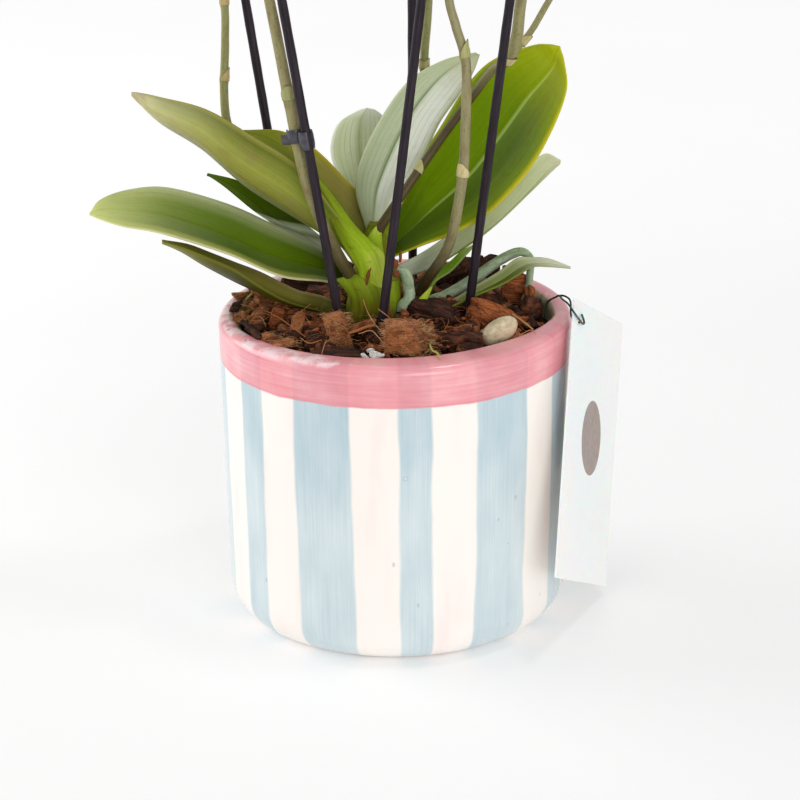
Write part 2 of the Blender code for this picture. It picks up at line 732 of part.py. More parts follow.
def bract(route, share, radius, side, parts):
    """Small pointed scale that wraps one side of a joint."""
    place = spline_point(route, share)
    along = spline_tangent(route, share)
    away = along.cross(Vector((0.0, 1.0, 0.2))).normalized() * side
    axis = (along + away * 0.22).normalized()
    bm = bmesh.new()
    length = STEM_BRACT * MM
    bmesh.ops.create_cone(bm, cap_ends=True, segments=5, radius1=(radius + 0.5) * MM,
                          radius2=0.3 * MM, depth=length)
    turn = axis.to_track_quat("Z", "Y").to_matrix().to_4x4()
    bm.transform(Matrix.Translation(vec(place) + axis * length * 0.4) @ turn)
    return object_from_bmesh("bract", bm, None, parts)


def bud(place, axis, length, parts):
    bm = bmesh.new()
    bmesh.ops.create_icosphere(bm, subdivisions=1, radius=0.5 * MM)
    turn = axis.to_track_quat("Z", "Y").to_matrix().to_4x4()
    stretch = Matrix.Diagonal((length * 0.72, length * 0.72, length, 1.0))
    bm.transform(Matrix.Translation(vec(place)) @ turn @ stretch)
    return object_from_bmesh("bud", bm, None, parts)


def spray_pieces(route, shares, heading, parts):
    """Stalks and tip buds of one flowering stretch."""
    pieces = [pedicel(*place, parts) for place in bloom_places(route, shares, heading)]
    for order, share in enumerate((0.965, 1.0)):
        axis = spline_tangent(route, share)
        side = axis.cross(Vector((0, 1, 0))).normalized() * (2.5 if order else -2.5)
        pieces.append(bud(spline_point(route, share) + side, axis, 9.0 - 2.5 * order, parts))
    return pieces


def make_stems(material, bloom_mesh, crown_space, parts, cutters):
    for name, (foot, tip, route, joints, shares, heading) in STEMS.items():
        count = round(1.6 * len(route))
        radii = []
        for i in range(count):
            share = i / (count - 1)
            swell = sum(0.55 * math.exp(-(((share - joint) / 0.014) ** 2)) for joint in joints)
            radii.append(foot + (tip - foot) * share + swell)
        pieces = [tube(name, sampled(route, count), radii, parts, 6)]
        for order, joint in enumerate(joints):
            radius = foot + (tip - foot) * joint
            pieces.append(bract(route, joint, radius, 1 if order % 2 else -1, parts))
        pieces += spray_pieces(route, shares, heading, parts)
        places = bloom_places(route, shares, heading)
        if name == "flower_stem_5":
            tip_radius, side_route, side_shares, side_heading = BRANCH
            samples = sampled(side_route, 13)
            radii = [1.6 + (tip_radius - 1.6) * i / 12 for i in range(13)]
            pieces.append(tube("branch", samples, radii, parts, 6))
            pieces += spray_pieces(side_route, side_shares, side_heading, parts)
            places += bloom_places(side_route, side_shares, side_heading)
        stem = union_all(name, pieces, material, parts)
        if name in SOIL_STEMS:
            hole = longer([Vector(route[0]), Vector(route[1])], GAP)
            as_cutter(tube(name + "_hole", hole, [foot + GAP + 0.4] * 2, cutters, 10))
        else:
            add_boolean(stem, "DIFFERENCE", crown_space)
        for order, (_, centre, facing) in enumerate(places):
            add_bloom(f"bloom_{name[-1]}_{order + 1}", bloom_mesh, centre, facing, parts)


def make_roots(material, crown_space, parts, cutters):
    for name, (radius, route) in ROOTS.items():
        count = 2 * len(route) - 2
        root = tube(name, sampled(route, count), [radius] * count, parts, 6)
        root.data.materials.append(material)
        space = longer(sampled(route, count), GAP)
        as_cutter(tube(name + "_hole", space, [radius + GAP + 0.1] * len(space), cutters, 8))
        if name == "aerial_root_small":
            add_boolean(root, "DIFFERENCE", crown_space)


def height_share(route, height):
    """Share of a rising route at which it reaches a height."""
    share = 0.0
    while spline_point(route, share).z < height and share < 1.0:
        share += 0.002
    return share


def make_clips(material, parts, cutters_for_clips):
    for name, stem, stake, height in CLIPS:
        foot, tip, route = STEMS[stem][:3]
        share = height_share(route, height)
        on_stem = spline_point(route, share)
        radius = foot + (tip - foot) * share
        low, top = stake_ends(stake)
        on_stake = low + (top - low) * ((height - low.z) / (top.z - low.z))
        reach = on_stem - on_stake
        along = ((top - low).normalized() + spline_tangent(route, share)).normalized()
        across = (reach - along * reach.dot(along)).normalized()
        depth = along.cross(across)
        width = reach.length + radius + STAKE_RADIUS + 2.0 * CLIP_WALL
        thick = 2.0 * (max(radius, STAKE_RADIUS) + CLIP_WALL)
        middle = (on_stem + across * radius + on_stake - across * STAKE_RADIUS) * 0.5
        bm = bmesh.new()
        bmesh.ops.create_cube(bm, size=1.0)
        turn = Matrix((across, depth, along)).transposed().to_4x4()
        scale = Matrix.Diagonal((width * MM, thick * MM, CLIP_HEIGHT * MM, 1.0))
        bm.transform(Matrix.Translation(vec(middle)) @ turn @ scale)
        vertical = [e for e in bm.edges if abs((e.verts[1].co - e.verts[0].co).normalized().dot(along)) > 0.9]
        bmesh.ops.bevel(bm, geom=vertical, offset=2.0 * MM, segments=1, affect="EDGES", profile=0.5)
        clip = object_from_bmesh(name, bm, material, parts)
        near = [spline_point(route, share + k * 0.01) for k in (-3, -2, -1, 0, 1, 2, 3)]
        stem_space = tube(name + "_stem_space", near, [radius + 0.9] * 7, cutters_for_clips, 8)
        around = [on_stake - (top - low).normalized() * 15.0, on_stake + (top - low).normalized() * 15.0]
        stake_space = tube(name + "_stake_space", around, [STAKE_RADIUS + GAP] * 2, cutters_for_clips, STAKE_SIDES)
        for space in (stem_space, stake_space):
            as_cutter(space)
            add_boolean(clip, "DIFFERENCE", space)


def tag_frame():
    """The tag's top near corner, the way along its top edge, the way down its side and its outward normal."""
    heading, tilt, spin = math.radians(71.7), math.radians(3.3), math.radians(25.2)
    out = Vector((math.sin(heading), -math.cos(heading), 0.0))
    along = Vector((math.cos(heading), math.sin(heading), 0.0))
    up = Vector((0.0, 0.0, 1.0))
    normal = out * math.cos(tilt) + up * math.sin(tilt)
    upward = up * math.cos(tilt) - out * math.sin(tilt)
    right = along * math.cos(spin) - upward * math.sin(spin)
    down = -along * math.sin(spin) - upward * math.cos(spin)
    corner = out * 78.0 + along * 2.0 + up * 145.5
    return corner, right, down, normal


def make_tag(card, wire, parts, cutters_for_clips):
    corner, right, down, normal = tag_frame()
    middle = corner + right * (TAG_WIDTH / 2) + down * (TAG_HEIGHT / 2)
    bm = bmesh.new()
    bmesh.ops.create_cube(bm, size=1.0)
    turn = Matrix((right, normal, -down)).transposed().to_4x4()
    scale = Matrix.Diagonal((TAG_WIDTH * MM, TAG_THICKNESS * MM, TAG_HEIGHT * MM, 1.0))
    bm.transform(Matrix.Translation(vec(middle)) @ turn @ scale)
    tag = object_from_bmesh("tag_card", bm, card, parts)
    eye = corner + right * 9.0 + down * 9.0
    punch = tube("tag_eye", [eye - normal * 4.0, eye + normal * 4.0], [TAG_HOLE_RADIUS] * 2,
                 cutters_for_clips, 16)
    as_cutter(punch)
    add_boolean(tag, "DIFFERENCE", punch)
    route = [
        (61, -3, 129.5), (64.5, -5, 133), (68, -8, 135.2), (71, -12, 135.6), (75, -15, 134.8),
        eye - normal * 2.2 + Vector((0, 0, 1.0)), eye, eye + normal * 2.2 - Vector((0, 0, 1.0)),
        eye + normal * 3.4 + down * 4.0, eye + normal * 2.8 + down * 7.5 + right * 1.0,
    ]
    strand = tube("tag_wire", sampled(route, 19), [WIRE_RADIUS] * 19, parts, 6)
    loop = [(68, -8, 135.2), (71, -6, 137.5), (76, -4, 138.5), (80, -3, 136.5)]
    end = tube("wire_end", sampled(loop, 7), [WIRE_RADIUS] * 7, parts, 6)
    union_all("tag_wire", [strand, end], wire, parts)


def shade_round_pieces(parts):
    """Smooth shading wherever a piece is round; blocks and the card stay flat."""
    for obj in parts.objects:
        if obj.name not in FLAT_PIECES:
            obj.data.shade_smooth()
            obj.data.set_sharp_from_angle(angle=math.radians(SHARP_ANGLE))


def main():
    clear_scene()
    parts = new_collection("potted_orchid")
    bark_cutters = new_collection("bark_cutters", hidden=True)
    cutters = new_collection("cutters", hidden=True)
    materials = {
        "glaze": new_material("glaze", (0.90, 0.86, 0.80), 0.15),
        "bark": new_material("bark", (0.20, 0.09, 0.045), 0.85),
        "husk": new_material("husk", (0.30, 0.14, 0.06), 0.9),
        "bark_dark": new_material("bark_dark", (0.06, 0.03, 0.02), 0.85),
        "bark_orange": new_material("bark_orange", (0.40, 0.16, 0.07), 0.85),
        "bark_red": new_material("bark_red", (0.14, 0.05, 0.035), 0.85),
        "pebble": new_material("pebble", (0.52, 0.44, 0.28), 0.6),
        "leaf": new_material("leaf", (0.16, 0.33, 0.03), 0.35),
        "crown": new_material("crown", (0.34, 0.48, 0.06), 0.4),
        "stem": new_material("stem", (0.24, 0.24, 0.09), 0.5),
        "root": new_material("root", (0.38, 0.45, 0.30), 0.6),
        "stake": new_material("stake", (0.045, 0.03, 0.05), 0.5),
        "petal": new_material("petal", (0.75, 0.30, 0.48), 0.5),
        "card": new_material("card", (0.90, 0.88, 0.82), 0.7),
        "wire": new_material("wire", (0.02, 0.09, 0.06), 0.4),
    }
    make_pot(materials["glaze"], parts)
    crown_object("crown", 0.0, materials["crown"], parts)
    crown_space = as_cutter(crown_object("crown_space", GAP + 0.05, None, bark_cutters))
    make_chunks(materials, parts, bark_cutters)
    make_leaves(materials["leaf"], crown_space, parts, bark_cutters)
    make_stakes(materials["stake"], parts, bark_cutters)
    bloom_mesh = make_bloom_mesh(materials["petal"], parts)
    make_stems(materials["stem"], bloom_mesh, crown_space, parts, bark_cutters)
    make_roots(materials["root"], crown_space, parts, bark_cutters)
    make_clips(materials["stake"], parts, cutters)
    make_tag(materials["card"], materials["wire"], parts, cutters)
    make_bark(materials["bark"], parts, bark_cutters)
    shade_round_pieces(parts)


main()
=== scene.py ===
import math
import random

import bmesh
import bpy
import numpy as np
from mathutils import Matrix, Vector, noise


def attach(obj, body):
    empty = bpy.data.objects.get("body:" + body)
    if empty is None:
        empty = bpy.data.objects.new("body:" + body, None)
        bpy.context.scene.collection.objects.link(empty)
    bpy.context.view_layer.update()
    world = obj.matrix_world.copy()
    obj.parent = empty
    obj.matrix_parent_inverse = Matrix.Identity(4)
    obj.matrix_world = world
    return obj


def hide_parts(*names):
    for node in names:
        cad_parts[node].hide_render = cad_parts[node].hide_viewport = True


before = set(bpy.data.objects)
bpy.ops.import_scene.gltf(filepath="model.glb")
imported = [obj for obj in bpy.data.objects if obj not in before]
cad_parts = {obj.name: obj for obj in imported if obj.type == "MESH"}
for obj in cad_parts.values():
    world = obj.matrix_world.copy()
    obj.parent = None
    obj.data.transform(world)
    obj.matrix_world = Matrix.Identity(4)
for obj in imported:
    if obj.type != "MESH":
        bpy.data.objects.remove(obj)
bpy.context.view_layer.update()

MM = 0.001

# Pot, in millimetres.
POT_HEIGHT = 134.0
POT_RADIUS = 75.0
POT_FOOT_RADIUS = 73.0
POT_CORNER = 16.0
POT_LIP = 4.0
POT_INNER_RADIUS = 66.5
BAND_FOOT = 116.5

# Painted stripes: centre and width in degrees round the pot, from the front towards +X.
STRIPES = [
    (-53.8, 11.2), (-24.4, 19.7), (5.9, 10.6), (36.0, 20.2), (67.0, 12.0), (97.0, 20.0),
    (127.0, 11.5), (157.0, 20.5), (-173.0, 11.0), (-143.0, 20.0), (-113.5, 12.0), (-83.8, 20.0),
]

# Small kiln marks in the glaze: where, how wide and their colour.
GLAZE_MARKS = [
    (-72.0, -13.0, 133.5, 2.6, (214, 132, 150)), (-70.0, -22.0, 133.8, 1.0, (120, 90, 120)),
    (-62.0, -37.0, 134.0, 0.8, (110, 84, 110)), (3.5, -74.5, 86.0, 1.6, (176, 196, 206)),
    (3.5, -74.5, 86.0, 0.8, (226, 232, 232)), (42.0, -61.0, 62.0, 0.9, (172, 196, 206)),
    (46.0, -58.0, 50.0, 0.8, (176, 200, 208)), (44.0, -59.5, 38.0, 0.7, (180, 200, 208)),
]

BARK_EDGE = 127.0
BARK_CROWN = 137.0

# Core of the crown: height, centre and half widths.
CROWN_SECTIONS = [
    (116.0, -10.0, -5.0, 8.0, 7.0),
    (124.0, -10.0, -5.0, 10.5, 9.0),
    (136.0, -10.0, -5.0, 10.5, 9.5),
    (149.0, -9.0, -4.0, 9.5, 9.0),
    (158.0, -7.5, -1.0, 8.5, 8.5),
    (166.0, -6.5, 2.0, 7.0, 7.0),
    (172.0, -6.0, 4.0, 4.0, 4.0),
]

# Leaf sheaths that wrap the core, listed as the leaves are, from the foot up. The tones at the foot and
# tip run from dark olive to bright yellow-green.
SHEATHS = {
    "sheath_column": (1, 0.42, 0.30, 1.2, (0.95, 0.30), [
        ((-14, -15, 148), (-3, -14, 147)),
        ((-15, -16, 156), (-4, -15, 157)),
        ((-18, -16, 162), (-4.5, -15, 164)),
        ((-22, -15, 169), (-9, -14, 168)),
        ((-26, -13, 177), (-16, -12, 175)),
        ((-29, -11, 184), (-22, -10, 183)),
        ((-33, -10, 192), (-28, -9, 191)),
        ((-38, -9, 200), (-36, -8, 200)),
    ]),
    "sheath_point": (1, 0.3, 0.2, 1.0, (0.8, 0.95), [
        ((-13, -10, 162), (-4, -10, 160)),
        ((-11.5, -10, 168), (-5, -10, 167)),
        ((-9, -9, 172), (-5, -9, 172)),
        ((-5.5, -8, 175.5), (-5, -8, 175.5)),
    ]),
    "sheath_right": (1, 0.35, 0.25, 1.0, (0.5, 0.2), [
        ((-6, -11, 146), (2.5, -10, 146)),
        ((-6, -11, 152), (2.5, -9, 152)),
        ((-5, -10, 157), (1.5, -8, 157)),
        ((-4, -9, 161), (-1, -8, 161)),
    ]),
    "sheath_cup": (1, 0.5, 0.4, 1.3, (0.12, 0.42), [
        ((-20, -13, 130), (-2, -12, 129)),
        ((-20, -14, 136), (-2, -13, 136)),
        ((-18.5, -15, 141), (-2, -14, 141)),
        ((-19.5, -16, 146), (-2.5, -14, 147)),
        ((-22.5, -15, 150), (-4, -14, 150.5)),
        ((-25, -13, 152), (-7, -13, 151)),
    ]),
    "sheath_low_right": (1, 0.4, 0.4, 1.2, (0.2, 0.45), [
        ((-6, -12, 128), (2, -10, 128)),
        ((-6, -13, 136), (2.5, -11, 136)),
        ((-5, -13, 144), (2.5, -11, 144)),
        ((-3.5, -12, 151), (1.5, -11, 151)),
    ]),
    "young_tip": (1, 0.3, 0.2, 0.8, (0.8, 1.0), [
        ((8, -14.5, 141), (12.5, -14, 140)),
        ((10.5, -14, 144), (14, -13.5, 143.5)),
        ((15.6, -14, 149), (16, -14, 148.8)),
    ]),
}

# Dry scraps of old sheath on the crown: size, centre, turn and tilt.
SCRAPS = [
    ((1.4, 0.7, 8.0), (-11, -18.5, 155), 10, 12), ((2.2, 0.8, 7.0), (-3, -17, 139), 0, 6),
    ((2.6, 0.8, 3.0), (1, -13, 154), 20, -14), ((1.8, 1.0, 4.0), (0.5, -13, 158), 30, 8),
    ((1.6, 1.2, 4.6), (2.6, -12, 161.5), 30, 8), ((4.0, 0.8, 2.0), (-19, -16, 147), -20, 20),
]

# Each leaf: which way its upper face looks, its channel at the base and the tip as a share of the half
# width, its thickness and the pairs of points on its two edges from base to tip.
LEAVES = {
    "leaf_left_low": (-1, 0.2, 0.05, 1.7, [
        ((-21, -7, 146), (-22, 2, 153)),
        ((-29, -13, 151), (-32, 8, 159)),
        ((-47, -24, 157), (-54, 22, 167)),
        ((-68, -28, 168), (-73, 28, 174)),
        ((-95, -24, 176), (-97, 28, 181)),
        ((-112, -16, 177), (-113, 22, 182)),
        ((-123, -5, 177), (-124, 11, 181)),
        ((-128, 2, 177), (-128, 4, 177)),
    ]),
    "leaf_left_cut": (-1, 1.0, 0.25, 1.6, [
        ((-20, -10, 134), (-20, -2, 137)),
        ((-27, -12, 136.5), (-26, -3, 139.5)),
        ((-34, -14, 139.5), (-31, -4, 142)),
        ((-41, -20, 143.5), (-40, -9, 146)),
        ((-47, -27, 148.5), (-47.5, -13, 151)),
        ((-55, -34, 156), (-56, -17, 157)),
        ((-65, -38, 164.5), (-66, -18, 161.5)),
        ((-77, -37, 170), (-76.5, -18, 166)),
        ((-87, -33, 173), (-85.5, -19, 170)),
        ((-95, -27, 173.5), (-96, -22, 173)),
    ]),
    "leaf_left_high": (-1, 0.4, 0.15, 1.7, [
        ((-14, -6, 166), (-15, 4, 157)),
        ((-24, -14, 181), (-27, 8, 165)),
        ((-38, -16, 201), (-36, 14, 168)),
        ((-58, -12, 214), (-61, 22, 182)),
        ((-77, -6, 224), (-80, 22, 199)),
        ((-97, 4, 227), (-97, 20, 211)),
        ((-105, 11, 227), (-106, 16, 221)),
        ((-109, 13, 227), (-109, 14, 225)),
    ]),
    "leaf_left_broad": (-1, 0.6, 0.2, 1.6, [
        ((-12, -4, 160), (-4, 6, 162)),
        ((-18, 0, 165), (-8, 10, 166)),
        ((-27, 3, 175), (-9, 15, 174)),
        ((-34, 5, 186), (-20, 19, 186)),
        ((-45, 8, 197), (-33, 22, 199)),
        ((-57, 12, 205), (-47, 22, 207)),
        ((-63, 15, 208), (-63, 17, 209)),
    ]),
    "leaf_left_narrow": (-1, 0.4, 0.3, 1.5, [
        ((-18, 1, 151), (-17, 7, 152)),
        ((-25, 5, 155), (-25, 12, 156)),
        ((-32, 12, 158), (-32, 24, 160)),
        ((-43, 20, 161), (-41, 31, 165)),
        ((-52, 26, 165), (-53, 36, 171)),
        ((-61, 31, 170), (-59, 39, 176)),
        ((-73, 33, 180), (-68, 39, 181)),
        ((-80, 34, 185), (-80, 36, 185)),
    ]),
    "leaf_back_left": (1, 0.35, 0.1, 1.6, [
        ((-12, 8, 156), (-6, 9, 156)),
        ((-14, 16, 163), (-6, 18, 163)),
        ((-18, 28, 174), (-7, 32, 172)),
        ((-24, 34, 184), (-5, 42, 184)),
        ((-27, 42, 193), (-3, 50, 195)),
        ((-24, 50, 202), (-4, 56, 203)),
        ((-16, 56, 206), (-7, 58, 206)),
        ((-12, 60, 206), (-10, 60, 206)),
    ]),
    "leaf_back_mid": (1, 0.4, 0.15, 1.7, [
        ((-11, 5, 166), (-6, 4, 166)),
        ((-16, 13, 183), (4, 10, 183)),
        ((-13, 17, 197), (13, 12, 198)),
        ((-4, 20, 214), (20, 14, 212)),
        ((7, 22, 228), (28, 16, 223)),
        ((21, 24, 236), (34, 18, 232)),
        ((35, 22, 240), (37, 22, 239)),
    ]),
    "leaf_right_broad": (1, 0.3, 0.12, 1.8, [
        ((-3, -5, 158), (-4, 7, 163)),
        ((12, -5, 164), (6, 18, 181)),
        ((25, -5, 169), (11, 27, 192)),
        ((40, -5, 178), (20, 31, 205)),
        ((55, -5, 194), (31, 33, 222)),
        ((65, -5, 211), (42, 31, 234)),
        ((72, 0, 228), (58, 24, 242)),
        ((71.5, 5, 239), (65, 14, 245)),
        ((69.8, 8.5, 244.6), (69.2, 9.3, 245.4)),
    ]),
    "leaf_right_under": (1, 0.35, 0.15, 1.6, [
        ((-2, 3, 151), (-1, 9, 144)),
        ((13, 6, 158), (15, 20, 146)),
        ((28, 9, 168), (32, 28, 154)),
        ((43, 9, 180), (43, 30, 162)),
        ((55, 9, 192), (59, 30, 177)),
        ((64, 13, 198), (67, 26, 186)),
        ((71, 18, 194), (71, 19, 192)),
    ]),
    "leaf_right_sliver": (1, 0.4, 0.3, 1.2, [
        ((12, 15, 124), (12, 22, 126)),
        ((16, 19, 138), (16, 26, 141)),
        ((24, 24, 143), (24, 32, 145)),
        ((29, 28, 147), (29, 34, 149)),
        ((35, 31, 153), (35, 32, 153)),
    ]),
    "leaf_right_small": (1, 0.6, 0.3, 1.5, [
        ((14, -8, 130), (15, -1, 131)),
        ((22, -6, 136), (23, 0, 137)),
        ((28, -3, 138), (30, 5, 140)),
        ((36, -1, 141), (36, 7, 143)),
        ((45, 1, 144), (45, 9, 148)),
        ((54, 2, 149), (52, 10, 153)),
        ((59, 3, 151.5), (58, 10, 153.5)),
        ((66, 4, 151), (66, 9, 153)),
        ((75, 6, 149.5), (75, 7, 150)),
    ]),
}

# Colours of each leaf, 0 to 255. "across" runs over the blade from its first edge to its second, with the
# share of the width at which each colour stands, and "slant" moves it along the blade. The base colour
# reaches as far as the first share in "reach", and the tip colour grows between the other two.
# The across colours hold painted light as well as each leaf's own colours: lighter and darker halves where the blade
# faces towards or away from the light, dark lines of painted shadow in the folds and pale bands of painted sheen along
# the edges.
LEAF_LOOKS = {
    # Pale lower strip and pale band at the upper edge: painted sheen. Dark base: painted shade.
    "leaf_left_low": {
        "across": [(0.0, (226, 220, 168)), (0.05, (168, 176, 84)), (0.15, (140, 152, 58)), (0.2, (80, 108, 0)),
                   (0.45, (106, 136, 0)), (0.75, (112, 142, 10)), (0.92, (168, 180, 122)), (1.0, (200, 206, 160))],
        "base": (44, 62, 0), "tip": (206, 214, 134), "reach": (0.34, 0.42, 0.86), "vein": 0.16},
    # Near-black stop at 0.46: painted shadow of the near edge in the fold. Dark base: painted shade.
    "leaf_left_cut": {
        "across": [(0.0, (110, 108, 40)), (0.08, (60, 62, 4)), (0.34, (50, 54, 2)), (0.46, (28, 26, 2)),
                   (0.55, (96, 94, 28)), (0.75, (134, 128, 58)), (0.93, (126, 118, 56)), (1.0, (190, 166, 120))],
        "base": (54, 56, 6), "tip": (128, 126, 38), "reach": (0.3, 0.6, 1.0), "vein": 0.2},
    # Pale last stop along the lower edge: painted highlight.
    "leaf_left_high": {
        "across": [(0.0, (150, 146, 70)), (0.05, (106, 114, 44)), (0.3, (168, 172, 80)), (0.55, (150, 146, 70)),
                   (0.74, (126, 136, 44)), (0.88, (56, 68, 0)), (0.95, (70, 78, 20)), (1.0, (214, 206, 184))],
        "base": (118, 144, 36), "tip": (232, 226, 182), "reach": (0.42, 0.42, 1.0), "vein": 0.1,
        "tinge": (150, 130, 92)},
    "leaf_left_broad": {
        "across": [(0.0, (118, 128, 44)), (0.3, (92, 104, 24)), (0.6, (128, 124, 52)), (0.85, (142, 134, 62)),
                   (0.94, (150, 144, 44)), (1.0, (196, 178, 44))],
        "base": (112, 132, 34), "tip": (124, 140, 20), "reach": (0.34, 0.6, 0.95), "vein": 0.14,
        "tinge": (126, 112, 66)},
    "leaf_left_narrow": {
        "across": [(0.0, (170, 176, 150)), (0.2, (118, 128, 96)), (0.4, (170, 180, 152)), (0.58, (128, 140, 104)),
                   (0.64, (50, 68, 0)), (1.0, (66, 88, 0))],
        "base": (60, 70, 30), "tip": (84, 110, 4), "reach": (0.1, 0.5, 0.95), "vein": 0.24, "slant": 3.2},
    "leaf_back_left": {
        "across": [(0.0, (240, 242, 226)), (0.1, (196, 208, 164)), (0.4, (206, 216, 180)), (0.49, (160, 172, 122)),
                   (0.52, (196, 208, 170)), (0.9, (204, 214, 182)), (1.0, (228, 232, 210))],
        "base": (134, 140, 56), "tip": (240, 242, 226), "reach": (0.24, 0.6, 1.0), "vein": 0.45},
    "leaf_back_mid": {
        "across": [(0.0, (206, 212, 176)), (0.1, (176, 188, 152)), (0.42, (190, 202, 170)), (0.485, (118, 138, 88)),
                   (0.515, (226, 232, 214)), (0.85, (236, 240, 228)), (1.0, (206, 212, 170))],
        "base": (196, 206, 168), "tip": (196, 204, 162), "reach": (0.2, 0.6, 1.0), "vein": 0.4},
    "leaf_right_broad": {
        "across": [(0.0, (206, 196, 60)), (0.02, (176, 174, 20)), (0.05, (118, 140, 2)), (0.12, (98, 124, 0)),
                   (0.3, (74, 98, 0)), (0.47, (84, 114, 0)), (0.488, (156, 182, 92)), (0.502, (150, 176, 78)),
                   (0.52, (106, 138, 0)), (0.8, (108, 140, 0)), (0.96, (116, 140, 6)), (1.0, (170, 174, 40))],
        "base": (60, 82, 0), "tip": (190, 198, 16), "reach": (0.3, 0.5, 1.0), "vein": 0.1},
    "leaf_right_under": {
        "across": [(0.0, (212, 216, 176)), (0.1, (176, 188, 136)), (0.46, (190, 200, 152)), (0.5, (150, 162, 70)),
                   (0.8, (156, 168, 84)), (1.0, (206, 210, 164))],
        "base": (206, 216, 194), "tip": (210, 212, 176), "reach": (0.36, 0.6, 1.0), "vein": 0.3},
    "leaf_right_sliver": {
        "across": [(0.0, (150, 176, 90)), (0.2, (96, 130, 10)), (0.45, (104, 140, 14)), (0.5, (196, 210, 120)),
                   (0.56, (110, 146, 16)), (1.0, (90, 126, 10))],
        "base": (110, 120, 40), "tip": (160, 180, 90), "reach": (0.3, 0.6, 1.0), "vein": 0.1},
    "leaf_right_small": {
        "across": [(0.0, (128, 140, 60)), (0.12, (96, 116, 18)), (0.42, (104, 120, 26)), (0.52, (150, 158, 100)),
                   (0.8, (140, 150, 92)), (1.0, (196, 200, 156))],
        "base": (60, 80, 10), "tip": (216, 218, 192), "reach": (0.3, 0.5, 0.95), "vein": 0.24},
}

STAKE_RADIUS = 1.95
STAKES = {
    "stake_left_front": ((-24, -26, 143), (-44, -26, 274), 365),
    "stake_left_back": ((-44, 36, 134), (-62, 45, 258), 360),
    "stake_middle_front": ((-6, -28, 134), (12, -24, 273), 385),
    "stake_middle_back": ((8, 42, 134), (9, 46, 258), 375),
    "stake_right_front": ((32, -6, 141), (48, -20, 271), 350),
}

# Each flower stem: radii from foot to tip, its route, the shares at which its blooms stand and the
# heading that the blooms face.
STEMS = {
    "flower_stem_1": ((2.0, 1.9, 1.6, 1.1), [
        (-12, 6, 148), (-24, 22, 160), (-42, 32, 174), (-57, 35, 183), (-66, 38, 195), (-71, 40, 206),
        (-72, 41, 220), (-71, 43, 241), (-71, 44, 260), (-75, 46, 300), (-82, 48, 345), (-92, 52, 385),
        (-108, 55, 418), (-132, 56, 442), (-160, 55, 452),
    ], (0.74, 0.83, 0.92), 100),
    "flower_stem_2": ((2.7, 2.4, 1.8, 1.2), [
        (-12, -8, 144), (-17, -12, 151), (-23, -17, 163), (-31, -20, 182), (-37, -21, 202),
        (-43, -20, 237), (-49, -19, 272), (-57, -18, 312), (-65, -17, 355), (-76, -17, 395),
        (-92, -17, 430), (-118, -17, 455), (-150, -17, 468), (-176, -17, 470),
    ], (0.7, 0.8, 0.9), -100),
    "flower_stem_3": ((2.2, 1.9, 1.5, 1.1), [
        (-3, 5, 154), (4, 20, 168), (11, 36, 190), (14, 46, 212), (14, 50, 232), (16, 52, 256),
        (17, 53, 300), (18, 54, 350), (22, 56, 395), (34, 58, 430), (56, 60, 455), (86, 60, 468),
    ], (0.82, 0.93), 85),
    "flower_stem_4": ((2.4, 2.2, 1.8, 1.2), [
        (8, 0, 120), (10, -1, 140), (13, -3, 147), (20, -8, 159), (24, -13, 170), (27, -18, 187),
        (29, -20, 203), (30, -20, 225), (30, -20, 246), (26, -20, 261), (23, -19, 275),
        (23, -18, 305), (27, -19, 345), (33, -22, 385), (42, -25, 425), (57, -27, 460),
        (82, -28, 482),
    ], (0.8, 0.88, 0.95), -85),
    "flower_stem_5": ((2.3, 1.9, 1.8, 1.9, 2.6, 2.3, 1.9, 1.5, 1.2), [
        (-8, -6, 166), (-5, -8, 174), (6, -6, 190), (13, -2, 199), (23, 3, 212), (33, 5, 225),
        (41, 0, 237), (48, -6, 244), (51, -11, 254), (53, -14, 272), (60, -16, 305), (68, -15, 345),
        (80, -13, 380), (100, -10, 405), (128, -8, 420), (156, -6, 424),
    ], (0.8, 0.91), -70),
}
BRANCH = ((1.7, 1.4, 1.1, 0.9), [(46, -5, 242), (51, 0, 246), (58, 6, 253), (66, 12, 265), (82, 15, 290),
                                 (104, 20, 312), (130, 23, 322), (158, 24, 322)], (0.68, 0.84), -60)

# Joints of each stem: share of its route, the way the scale faces, its length, how far its tip stands off,
# and its tone from green to tan.
JOINTS = {
    "flower_stem_1": [(0.4465, (1.0, -0.3), 6.0, 0.2, 0.7), (0.564, (0.1, -1.0), 5.0, 0.6, 0.7),
                      (0.66, (-1.0, 0.2), 5.5, 0.3, 0.5)],
    "flower_stem_2": [(0.374, (0.15, -1.0), 6.5, 0.1, 0.2), (0.52, (-1.0, 0.0), 6.5, 0.3, 0.4),
                      (0.62, (1.0, 0.0), 6.0, 0.3, 0.5)],
    "flower_stem_3": [(0.3425, (-1.0, -0.5), 4.5, 0.3, 0.4), (0.345, (1.0, -0.4), 4.0, 0.35, 0.4),
                      (0.5, (-1.0, 0.3), 5.5, 0.3, 0.5), (0.66, (1.0, 0.0), 5.5, 0.3, 0.5)],
    "flower_stem_4": [(0.3595, (-0.6, -0.9), 6.5, 0.1, 0.85), (0.51, (1.0, -0.5), 7.5, 0.5, 0.3),
                      (0.64, (-1.0, 0.1), 6.5, 0.3, 0.5), (0.72, (1.0, 0.1), 6.0, 0.3, 0.5)],
    "flower_stem_5": [(0.176, (-0.9, -0.5), 5.5, 0.1, 0.4), (0.4595, (0.7, -0.8), 5.5, 0.1, 0.85),
                      (0.63, (-1.0, 0.1), 6.5, 0.3, 0.5), (0.73, (1.0, 0.1), 6.0, 0.3, 0.5)],
}
BRANCH_JOINT = (0.2, (1.0, -0.6), 5.5, 0.3, 0.6)

BLOOM_CORE = 3.2
BLOOM_REACH = 13.0
BLOOM_SPREAD = 17.0

